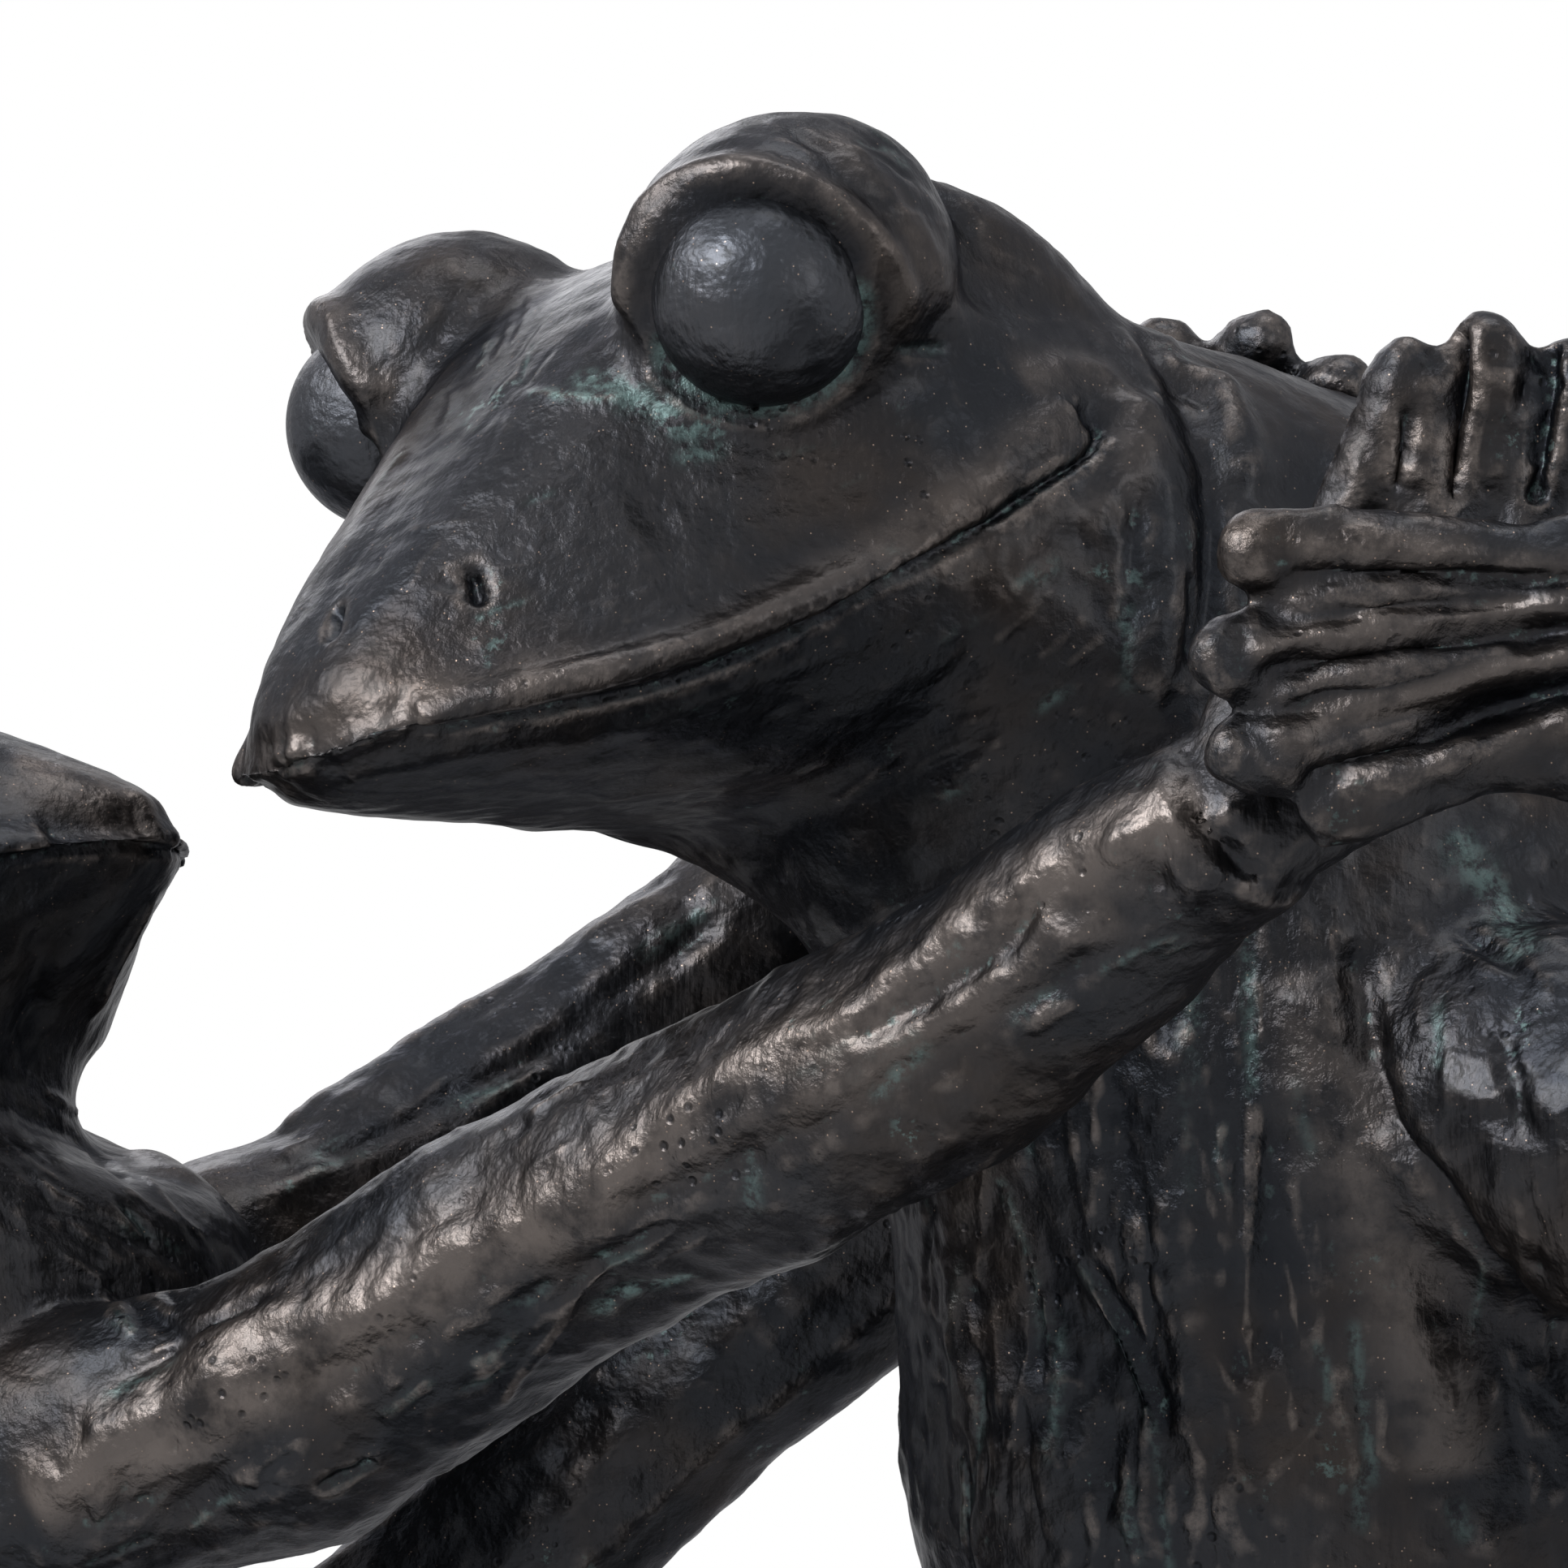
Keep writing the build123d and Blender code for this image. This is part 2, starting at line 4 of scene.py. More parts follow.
import bmesh
import bpy
import numpy as np
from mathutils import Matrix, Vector, noise
from mathutils.bvhtree import BVHTree


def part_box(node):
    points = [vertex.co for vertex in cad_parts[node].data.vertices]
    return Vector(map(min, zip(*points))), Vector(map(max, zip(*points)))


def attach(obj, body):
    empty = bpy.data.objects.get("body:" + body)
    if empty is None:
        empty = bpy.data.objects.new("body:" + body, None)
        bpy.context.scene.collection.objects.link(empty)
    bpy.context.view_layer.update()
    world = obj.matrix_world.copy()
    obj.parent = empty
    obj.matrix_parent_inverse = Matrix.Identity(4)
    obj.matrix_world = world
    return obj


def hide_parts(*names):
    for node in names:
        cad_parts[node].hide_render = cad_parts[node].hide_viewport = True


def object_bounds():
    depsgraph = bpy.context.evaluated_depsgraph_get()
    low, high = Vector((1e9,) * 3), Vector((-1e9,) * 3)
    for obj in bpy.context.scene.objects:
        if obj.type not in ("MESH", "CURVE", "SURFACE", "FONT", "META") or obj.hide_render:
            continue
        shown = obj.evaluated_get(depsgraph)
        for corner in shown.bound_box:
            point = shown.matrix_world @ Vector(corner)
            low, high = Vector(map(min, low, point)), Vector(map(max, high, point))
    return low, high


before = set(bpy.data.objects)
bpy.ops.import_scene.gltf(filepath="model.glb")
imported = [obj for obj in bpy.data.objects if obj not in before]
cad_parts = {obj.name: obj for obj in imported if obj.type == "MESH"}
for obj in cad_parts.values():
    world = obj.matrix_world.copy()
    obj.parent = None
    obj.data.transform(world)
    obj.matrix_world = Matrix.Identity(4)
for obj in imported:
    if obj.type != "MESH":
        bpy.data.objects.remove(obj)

# Two dancing frogs cast in resin with a dark bronze finish. The frame gives the castings. This
# script fuses them into one clay skin for each frog, sculpts lids, lips, folds and muscles into it,
# cuts it back into the castings and paints them. Lengths in the dictionaries are millimetres,
# unless a note says pixels of the photograph.
mm = 0.001
scene = bpy.context.scene
cadLow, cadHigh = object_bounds()
print("frame loaded:", len(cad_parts), "nodes")

# The photograph's camera comes first, because strokes are placed through it.
photo = {
    "size": 1932,          # pixels across and down
    "pixel": 0.075,        # size of a pixel in the plane y = 0
    "distance": 900.0,     # lens to that plane
    "level": 437.0,        # height of the lens
    "sensor": 36.0,
}


def makeCamera():
    data = bpy.data.cameras.new("camera")
    data.sensor_width = photo["sensor"]
    data.lens = photo["sensor"] * photo["distance"] / (photo["size"] * photo["pixel"])
    data.clip_start, data.clip_end = 0.05, 40.0
    camera = bpy.data.objects.new("camera", data)
    camera.location = (0, -photo["distance"] * mm, photo["level"] * mm)
    camera.rotation_euler = (math.radians(90), 0, 0)
    scene.collection.objects.link(camera)
    scene.camera = camera


# the line of sight of a pixel, as its start and its direction
def throughPixel(x, y):
    middle = photo["size"] / 2
    start = Vector((0, -photo["distance"], photo["level"])) * mm
    target = Vector(((x - middle) * photo["pixel"], 0,
                     photo["level"] - (y - middle) * photo["pixel"])) * mm
    return start, (target - start).normalized()


# the same for a level view from any side, 0 being the photograph's
def seenFrom(azimuth, across, height):
    turn = math.radians(azimuth)
    right = Vector((math.cos(turn), math.sin(turn), 0))
    forward = Vector((-math.sin(turn), math.cos(turn), 0))
    return (right * across + Vector((0, 0, height))) * mm - forward, forward


makeCamera()

# Axes and lip line of each head, as its casting has them. A share is of the head's length ahead,
# of its half width to its left and of its height up.
bothHeads = {
    "eyeShare": (0.395, 0.83, 0.74), "eyeRadius": 9.8,
    "eyeFill": 9.2,                            # radius of the ball that fills the socket
    "slitFill": (1.2, 1.15),                   # drop and radius of the bar that fills the slit
    "melts": [((0.327, 1.095, 0.566), 5.5)],   # places that are smoothed, and their reach
    "face": ((0.6, 0, 0.3), 66.0),             # middle and reach of the face, where lumps are soft
}
leaderHead = {
    **bothHeads,
    "origin": (10.3, 0.0, 456.2), "turn": 42.5, "drop": 12.6, "tilt": 10.7, "faces": -1,
    "length": 77.0, "halfWidth": 32.5, "height": 36.0,
    "lipShares": [(0.246, 1.03, 0.118), (0.399, 0.98, 0.042), (0.535, 0.89, 0.010),
                  (0.687, 0.75, -0.008), (0.820, 0.57, 0.000), (0.918, 0.36, 0.006),
                  (0.963, 0.17, 0.000)],
}
followerHead = {
    **bothHeads,
    "origin": (-122.7, 22.0, 411.8), "turn": 22.0, "drop": -17.0, "tilt": -4.0, "faces": 1,
    "length": 74.0, "halfWidth": 30.75, "height": 34.0,
    "lipShares": [(0.493, 1.03, 0.088), (0.635, 0.98, 0.015), (0.713, 0.89, -0.001),
                  (0.789, 0.75, -0.004), (0.862, 0.57, 0.004), (0.941, 0.36, -0.006),
                  (0.988, 0.14, -0.010)],
    "lips": [(-1.5, 2.0, 0.5), (2.0, 0.60, -1.1)],   # drop, width and height of rim and slit
}


class HeadAxes:
    def __init__(self, head):
        turn, drop, tilt = (math.radians(head[key]) for key in ("turn", "drop", "tilt"))
        up = Vector((0, 0, 1))
        level = Vector((head["faces"] * math.cos(turn), -math.sin(turn), 0))
        side = up.cross(level)
        rise = up * math.cos(drop) + level * math.sin(drop)
        self.origin = Vector(head["origin"]) * mm
        self.ahead = level * math.cos(drop) - up * math.sin(drop)
        self.left = side * math.cos(tilt) + rise * math.sin(tilt)
        self.up = rise * math.cos(tilt) - side * math.sin(tilt)
        self.sizes = (head["length"] * mm, head["halfWidth"] * mm, head["height"] * mm)

    def place(self, ahead, left, up):
        long, wide, tall = self.sizes
        return self.origin + self.ahead * ahead * long + self.left * left * wide + self.up * up * tall

    def sharesOf(self, point):
        away = point - self.origin
        long, wide, tall = self.sizes
        return away.dot(self.ahead) / long, away.dot(self.left) / wide, away.dot(self.up) / tall

    def mirrored(self, point):
        return point - self.left * (2 * (point - self.origin).dot(self.left))


# a rounded line through the points, in short even steps
def smoothLine(points, step=1.0 * mm):
    points = [Vector(p) for p in points]
    if len(points) < 3:
        count = max(2, int((points[-1] - points[0]).length / step))
        return [points[0].lerp(points[-1], i / count) for i in range(count + 1)]
    ends = [points[0] * 2 - points[1]] + points + [points[-1] * 2 - points[-2]]
    line = []
    for a, b, c, d in zip(ends, ends[1:], ends[2:], ends[3:]):
        count = max(1, int((c - b).length / step))
        for i in range(count):
            t = i / count
            line.append(0.5 * (2 * b + (c - a) * t + (2 * a - 5 * b + 4 * c - d) * t * t
                               + (3 * b - a - 3 * c + d) * t ** 3))
    line.append(points[-1])
    return line


# the mesh that an object's modifiers or bevel make of it; the object itself goes
def evaluated(holder):
    graph = bpy.context.evaluated_depsgraph_get()
    mesh = bpy.data.meshes.new_from_object(holder.evaluated_get(graph))
    bpy.data.objects.remove(holder)
    return mesh


# joins CAD nodes and fills their seams, as one closed skin of even small faces
def fuse(nodeNames, grain, plugs):
    bm = bmesh.new()
    for name in nodeNames:
        bm.from_mesh(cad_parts[name].data)
    for plug in plugs:
        bm.from_mesh(plug)
    mesh = bpy.data.meshes.new("clay")
    bm.to_mesh(mesh)
    bm.free()
    holder = bpy.data.objects.new("clay", mesh)
    scene.collection.objects.link(holder)
    remesh = holder.modifiers.new("remesh", "REMESH")
    remesh.mode = "VOXEL"
    remesh.voxel_size = grain * mm
    remesh.adaptivity = 0
    return evaluated(holder)


# fills an eye socket before the lids are sculpted
def ballPlug(centre, radius):
    bm = bmesh.new()
    bmesh.ops.create_icosphere(bm, subdivisions=4, radius=radius * mm)
    bmesh.ops.translate(bm, verts=bm.verts, vec=centre)
    mesh = bpy.data.meshes.new("ballPlug")
    bm.to_mesh(mesh)
    bm.free()
    return mesh


# fills the mouth's slit before it is sculpted
def barPlug(line, radius):
    curve = bpy.data.curves.new("barPlug", "CURVE")
    curve.dimensions = "3D"
    curve.bevel_depth = radius * mm
    curve.use_fill_caps = True
    spline = curve.splines.new("POLY")
    spline.points.add(len(line) - 1)
    for point, place in zip(spline.points, line):
        point.co = (*place, 1)
    holder = bpy.data.objects.new("barPlug", curve)
    scene.collection.objects.link(holder)
    return evaluated(holder)


clayFeel = {
    "takenBack": 1.04,       # share of a smoothing step inwards that the next one undoes
    "strokeReach": 2.6,      # widths from its line at which a stroke ends
    "longestJump": 6.0,      # longer jumps in a stroke's line are left open
    "markFade": 2.0,         # length over which a mark fades at its ends
}

# the gap between an eye and its hood
lids = {
    "above": 1.5, "below": 0.25,          # width over and under the eye
    "wall": 1.1,                          # distance in which the hood's wall rises
    "floor": 0.8,                         # how far the socket's floor lies inside the eyeball
    "back": -0.4, "backFade": 0.2,        # where it ends behind, as a cosine to the gaze
    # the dark in the gap is painted shade
    "shade": 1.3, "shadeFade": 0.7,       # how far dark paint reaches past its edge
    "ring": 0.6, "ringWidth": 0.5,        # green line round the eyeball
}


# a skin's points and edges as arrays, with the tools that work on them
class Clay:
    def __init__(self, mesh):
        self.mesh = mesh
        self.read()

    def read(self):
        self.points = np.empty(len(self.mesh.vertices) * 3)
        self.mesh.vertices.foreach_get("co", self.points)
        self.points = self.points.reshape(-1, 3)
        edges = np.empty(len(self.mesh.edges) * 2, dtype=np.int64)
        self.mesh.edges.foreach_get("vertices", edges)
        self.edges = edges.reshape(-1, 2)
        self.degree = np.bincount(self.edges.ravel(), minlength=len(self.points))[:, None]

    def normals(self):
        self.mesh.vertices.foreach_set("co", self.points.ravel())
        self.mesh.update()
        found = np.empty(len(self.points) * 3)
        self.mesh.vertices.foreach_get("normal", found)
        return found.reshape(-1, 3)

    def neighbourMean(self, values):
        total = np.empty_like(values)
        a, b = self.edges.T
        for k in range(values.shape[1]):
            total[:, k] = (np.bincount(a, values[b, k], len(values))
                           + np.bincount(b, values[a, k], len(values)))
        return total / self.degree

    # smooths by neighbours; without shrink each step in is followed by one out
    def relax(self, rounds, share=None, shrink=False):
        weight = 0.5 if share is None else 0.5 * share[:, None]
        for _ in range(rounds):
            self.points += (self.neighbourMean(self.points) - self.points) * weight
            if not shrink:
                step = (self.neighbourMean(self.points) - self.points) * weight
                self.points += step * -clayFeel["takenBack"]

    # how far each point stands above the smoothed skin, for a short and a long smoothing
    def relief(self, few=8, many=56):
        normals = self.normals()
        smooth = self.points.copy()
        for count in range(many):
            smooth = self.neighbourMean(smooth)
            if count == few - 1:
                fine = np.einsum("ij,ij->i", self.points - smooth, normals) / mm
        wide = np.einsum("ij,ij->i", self.points - smooth, normals) / mm
        return fine - wide * few / many, wide

    # melts the creases where castings meet, as a thumb does
    def meltCreases(self, depth, rounds):
        wide = self.relief()[1]
        share = np.clip((-wide - depth) / depth, 0, 1)[:, None]
        for _ in range(6):
            share = np.maximum(share, self.neighbourMean(share))
        self.relax(rounds, share[:, 0], shrink=True)

    # the points near a line, and how much of a stroke along it each of them gets
    def underStroke(self, line, wide, fade):
        line = np.array([tuple(p) for p in line])
        reach = wide * mm * clayFeel["strokeReach"]
        low, high = line.min(0) - reach, line.max(0) + reach
        near = np.flatnonzero(((self.points > low) & (self.points < high)).all(1))
        best = np.full(len(near), 1.0)
        where = np.zeros(len(near))
        here = self.points[near]
        length = 0.0
        for a, b in zip(line, line[1:]):
            along = b - a
            square = along @ along
            if square > (clayFeel["longestJump"] * mm) ** 2 or square == 0:
                continue
            t = np.clip((here - a) @ along / square, 0, 1)
            gap = here - a - t[:, None] * along
            gap = np.einsum("ij,ij->i", gap, gap)
            closer = gap < best
            best[closer] = gap[closer]
            where[closer] = length + t[closer] * math.sqrt(square)
            length += math.sqrt(square)
        share = np.exp(-best / (wide * mm) ** 2) * (best < reach ** 2)
        if fade:
            ends = np.clip(np.minimum(where, length - where) / (fade * mm), 0, 1)
            share *= ends * ends * (3 - 2 * ends)
        return near, share

    # raises a rounded ridge along a line, or sinks a groove where high is negative
    def press(self, normals, line, wide, high, fade=4.0):
        near, share = self.underStroke(line, wide, fade)
        self.points[near] += normals[near] * (high * mm * share)[:, None]

    # marks a line in one of the skin's masks: green left in a crease, rubbed paint that is partly painted
    # highlight, or dark paint that is painted shade
    def mark(self, mask, line, wide, amount):
        near, share = self.underStroke(line, wide, clayFeel["markFade"])
        mask[near] = np.maximum(mask[near], amount * share)

    # opens the gap between an eye and its hood, wide above and narrow below, and lays painted shade in the
    # gap above the eye
    def openEye(self, centre, up, gaze, radius):
        above, below, wall = lids["above"], lids["below"], lids["wall"] * mm
        away = self.points - np.array(centre)
        far = np.linalg.norm(away, axis=1)
        high = np.clip((away @ np.array(up) / far + 0.25) / 0.6, 0, 1)
        gap = (below + (above - below) * high * high * (3 - 2 * high)) * mm
        edge = radius * mm + gap
        t = np.clip((far - edge) / wall, 0, 1)
        floor = np.minimum(far, (radius - lids["floor"]) * mm)
        wanted = floor + (np.maximum(far, floor) - floor) * t * t * (3 - 2 * t)
        ahead = away @ np.array(gaze) / far
        front = np.clip((ahead - lids["back"]) / lids["backFade"], 0, 1)
        moved = (far < edge + wall) & (ahead > lids["back"])
        wanted = far + (wanted - far) * front
        shade = np.clip((edge + lids["shade"] * mm - far) / (lids["shadeFade"] * mm), 0, 1)
        # painted shade in the gap, darkest above the eye
        self.dark = np.maximum(self.dark, shade * np.clip(high * 2, 0, 1) * front)
        self.points[moved] = np.array(centre) + away[moved] * (wanted[moved] / far[moved])[:, None]
        off = np.abs(far - radius * mm - lids["ring"] * mm) / (lids["ringWidth"] * mm)
        line = np.clip(1.2 - off, 0, 1)
        self.green = np.maximum(self.green, 0.85 * line * np.clip(1.2 - high * 4, 0, 1))

    def tree(self):
        self.normals()
        return BVHTree.FromPolygons([tuple(p) for p in self.points],
                                    [tuple(f.vertices) for f in self.mesh.polygons])

    # divides the faces whose points are all wanted
    def refine(self, wanted):
        self.normals()
        bm = bmesh.new()
        bm.from_mesh(self.mesh)
        bm.verts.ensure_lookup_table()
        edges = [e for e in bm.edges if wanted[e.verts[0].index] and wanted[e.verts[1].index]]
        bmesh.ops.subdivide_edges(bm, edges=edges, cuts=1, use_grid_fill=True)
        bm.to_mesh(self.mesh)
        bm.free()
        self.read()

    # uneven hand-worked clay, as lumps of a given size, soft or with sharp crests
    def lumps(self, normals, size, high, seed, share=1.0, sharp=False):
        shift = Vector((seed, seed * 1.7, seed * 0.3))
        amount = np.array([noise.noise(Vector(p) / (size * mm) + shift) for p in self.points])
        if sharp:
            worked = np.array([noise.noise(Vector(p) / (5 * size * mm) - shift) for p in self.points])
            amount = (0.2 - np.abs(amount)) * np.clip(worked * 2.5 + 0.55, 0.1, 1.0)
        self.points += normals * (amount * share * high * mm)[:, None]


# A stroke's name, width, height and line. The line is given in pixels of the photograph, in shares
# of the head, or in points of a level view from a side in degrees. More can follow: the length over
# which it fades at its ends, mirror for one on the head's other side too, eye for one that the
# other frog takes over, and how strongly it leaves green, rubbed paint that is partly painted highlight,
# or dark paint that is painted shade.
def strokeAt(name, wide, high, pixels=None, **more):
    return {"name": name, "wide": wide, "high": high, "pixels": pixels, **more}


# a stroke's line on the skin
def strokeLine(tree, stroke, axes):
    found = []
    if "shares" in stroke:
        for point in smoothLine([axes.place(*share) for share in stroke["shares"]]):
            found.append(tree.find_nearest(point)[0])
    elif stroke["pixels"]:
        for point in smoothLine([(x, y, 0) for x, y in stroke["pixels"]], 10.0):
            found.append(tree.ray_cast(*throughPixel(point.x, point.y))[0])
    else:
        for point in smoothLine([(x, z, 0) for x, z in stroke["points"]], 1.0):
            found.append(tree.ray_cast(*seenFrom(stroke["side"], point.x, point.y))[0])
    return [point for point in found if point is not None]


# presses every stroke, and its mirror image on the head where it asks for one
def sculpt(clay, strokes, axes):
    tree = clay.tree()
    normals = clay.normals()
    for stroke in strokes:
        line = strokeLine(tree, stroke, axes)
        if len(line) < 2:
            print("  off the skin:", stroke["name"])
            continue
        stroke["line"] = line
        lines = [line]
        if stroke.get("mirror"):
            lines.append([axes.mirrored(p) for p in line])
        for side in lines:
            if stroke["high"]:
                clay.press(normals, side, stroke["wide"], stroke["high"], stroke.get("fade", 4.0))
            if "green" in stroke:
                clay.mark(clay.green, side, stroke["wide"] * 0.8, stroke["green"])
            if "polish" in stroke:
                clay.mark(clay.polish, side, stroke["wide"] * 1.1, stroke["polish"])
            # dark marks lay painted shade
            if "dark" in stroke:
                clay.mark(clay.dark, side, stroke["wide"], stroke["dark"])


# short chance strokes, raised and sunk, that run along a line of pixels and lie on both sides of it
def scratches(start, end, spread, count, reach, wide, high, seed):
    chance = random.Random(seed)
    start, end = Vector(start), Vector(end)
    along = (end - start).normalized()
    across = Vector((-along.y, along.x))
    made = []
    for number in range(count):
        middle = start.lerp(end, chance.random()) + across * chance.uniform(-spread, spread)
        half = (along + across * chance.uniform(-0.2, 0.2)) * chance.uniform(0.2, 0.5) * reach
        bend = across * chance.uniform(-0.05, 0.05) * reach
        made.append(strokeAt("scratch", wide * chance.uniform(0.7, 1.4),
                             high * chance.choice((1.0, 0.6, -1.0, -0.6)),
                             [tuple(middle - half), tuple(middle + bend), tuple(middle + half)],
                             fade=1.5))
        if number % 6 == 0:
            made[-1]["green"] = 0.35
    return made


# the strokes round the leader's eyes, as shares that the other head can take
def eyeStrokes(strokes, source):
    carried = []
    for stroke in strokes:
        if stroke.get("eye") and "line" in stroke:
            shares = [source.sharesOf(p) for p in stroke["line"][::4]]
            carried.append({**stroke, "shares": shares, "mirror": True})
    return carried


# Long strands of muscle and sinew, pressed along a limb's axis on all its sides.
def pressStrands(clay, limb, seed):
    chance = random.Random(seed)
    tree = clay.tree()
    normals = clay.normals()
    axis = smoothLine([Vector(p) * mm for p in limb["axis"]], 2.5 * mm)
    last = len(axis) - 1
    for number in range(limb["strands"]):
        angle = 2 * math.pi * number / limb["strands"] + chance.uniform(-0.3, 0.3)
        twist = chance.uniform(-0.5, 0.5)
        start = int(last * chance.uniform(0.0, 0.25))
        end = int(last * chance.uniform(0.7, 1.0))
        line = []
        for i in range(start, end):
            along = (axis[i + 1] - axis[i]).normalized()
            side = along.cross(Vector((0, 1, 0.05))).normalized()
            over = along.cross(side)
            turn = angle + twist * i / last
            spot, _, _, gap = tree.ray_cast(axis[i], side * math.cos(turn) + over * math.sin(turn))
            if spot is not None and 4 * mm < gap < limb["reach"] * mm:
                line.append(spot)
        if len(line) > 3:
            sign = 1 if number % 2 else -0.8
            clay.press(normals, line, chance.uniform(1.3, 2.3), sign * limb["relief"])


# cuts the skin into one piece for each CAD node, which it stands for
def divide(clay, nodeNames, material):
    mesh = clay.mesh
    fineRelief, wideRelief = (values * clay.even for values in clay.relief())
    normals = clay.normals()
    count = len(mesh.polygons)
    centres = np.empty(count * 3)
    mesh.polygons.foreach_get("center", centres)
    centres = centres.reshape(-1, 3)
    best = np.full(count, 1e9)
    owner = np.zeros(count, dtype=np.int64)
    margin = 3 * mm    # how far the clay may stand outside the box of its casting
    boxes = [tuple(np.array(corner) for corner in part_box(name)) for name in nodeNames]
    insides = [((centres > low - margin) & (centres < high + margin)).all(1) for low, high in boxes]
    shared = sum(inside.astype(int) for inside in insides) != 1
    for index, (name, inside) in enumerate(zip(nodeNames, insides)):
        owner[inside & ~shared] = index
        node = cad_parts[name].data
        tree = BVHTree.FromPolygons([tuple(v.co) for v in node.vertices],
                                    [tuple(f.vertices) for f in node.polygons])
        for i in np.flatnonzero(inside & shared):
            gap = tree.find_nearest(Vector(centres[i]))[3]
            if gap is not None and gap < best[i]:
                best[i], owner[i] = gap, index
    starts = np.empty(count, dtype=np.int64)
    totals = np.empty(count, dtype=np.int64)
    corners = np.empty(len(mesh.loops), dtype=np.int64)
    mesh.polygons.foreach_get("loop_start", starts)
    mesh.polygons.foreach_get("loop_total", totals)
    mesh.loops.foreach_get("vertex_index", corners)
    for index, name in enumerate(nodeNames):
        polygons = [corners[starts[f]:starts[f] + totals[f]] for f in np.flatnonzero(owner == index)]
        used, renumbered = np.unique(np.concatenate(polygons), return_inverse=True)
        cuts = np.cumsum([len(p) for p in polygons])[:-1]
        made = bpy.data.meshes.new(name + "_cast")
        made.from_pydata(clay.points[used].tolist(), [],
                         [part.tolist() for part in np.split(renumbered, cuts)])
        # the masks that the paint reads: green, rubbed paint that is partly painted highlight, and painted
        # shade
        for title, values in (("fineRelief", fineRelief), ("wideRelief", wideRelief),
                              ("greenLine", clay.green), ("polish", clay.polish), ("dark", clay.dark)):
            layer = made.attributes.new(title, "FLOAT", "POINT")
            layer.data.foreach_set("value", values[used].astype(np.float32))
        made.shade_smooth()
        made.normals_split_custom_set_from_vertices(normals[used].tolist())
        made.materials.append(material)
        piece = bpy.data.objects.new(name + "_cast", made)
        scene.collection.objects.link(piece)
        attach(piece, "root")
        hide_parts(name)
        print("  piece", piece.name, len(made.polygons), "faces")


# sets a node's inputs, from values or from the sockets of other nodes
def fill(tree, node, inputs):
    for key, value in inputs.items():
        if isinstance(value, bpy.types.NodeSocket):
            tree.links.new(value, node.inputs[key])
        else:
            node.inputs[key].default_value = value


def addNode(tree, kind, inputs, **settings):
    node = tree.nodes.new(kind)
    for key, value in settings.items():
        setattr(node, key, value)
    fill(tree, node, inputs)
    return node


# a group of nodes whose inputs are numbers
def newGroup(name, inputs, outputs):
    group = bpy.data.node_groups.new(name, "ShaderNodeTree")
    for title, value in inputs.items():
        socket = group.interface.new_socket(title, in_out="INPUT", socket_type="NodeSocketFloat")
        socket.default_value = value
    for title, kind in outputs.items():
        group.interface.new_socket(title, in_out="OUTPUT", socket_type=kind)
    return group, group.nodes.new("NodeGroupInput"), group.nodes.new("NodeGroupOutput")


def mathNode(tree, operation, a, b, clamp=False):
    node = addNode(tree, "ShaderNodeMath", {0: a, 1: b}, operation=operation, use_clamp=clamp)
    return node.outputs[0]


def times(tree, a, b, clamp=False):
    return mathNode(tree, "MULTIPLY", a, b, clamp)


def rangeNode(tree, value, low, high, toLow=0.0, toHigh=1.0):
    node = addNode(tree, "ShaderNodeMapRange", {"Value": value, "From Min": low, "From Max": high,
                                                "To Min": toLow, "To Max": toHigh})
    return node.outputs["Result"]


def mixColour(tree, share, a, b):
    return addNode(tree, "ShaderNodeMix", {0: share, 6: a, 7: b}, data_type="RGBA").outputs[2]


def noiseNode(tree, place, scale, detail, roughness=0.5):
    return addNode(tree, "ShaderNodeTexNoise", {"Vector": place, "Scale": scale, "Detail": detail,
                                                "Roughness": roughness}).outputs["Fac"]


def bumpNode(tree, height, strength, distance):
    return addNode(tree, "ShaderNodeBump", {"Height": height, "Strength": strength,
                                            "Distance": distance}).outputs["Normal"]


def objectPlace(tree):
    return tree.nodes.new("ShaderNodeTexCoord").outputs["Object"]


# scales of the noises in the grain, and the heights that they add
grainScales = {
    "crinkle": 620.0, "crinkled": 70.0, "dents": 230.0, "knocks": 90.0,
    "pits": 520.0, "pitted": 55.0, "hairs": 1500.0, "brushed": 38.0,
}
grainHeights = {"crinkle": 1.5, "dents": 2.6, "knocks": 3.2}


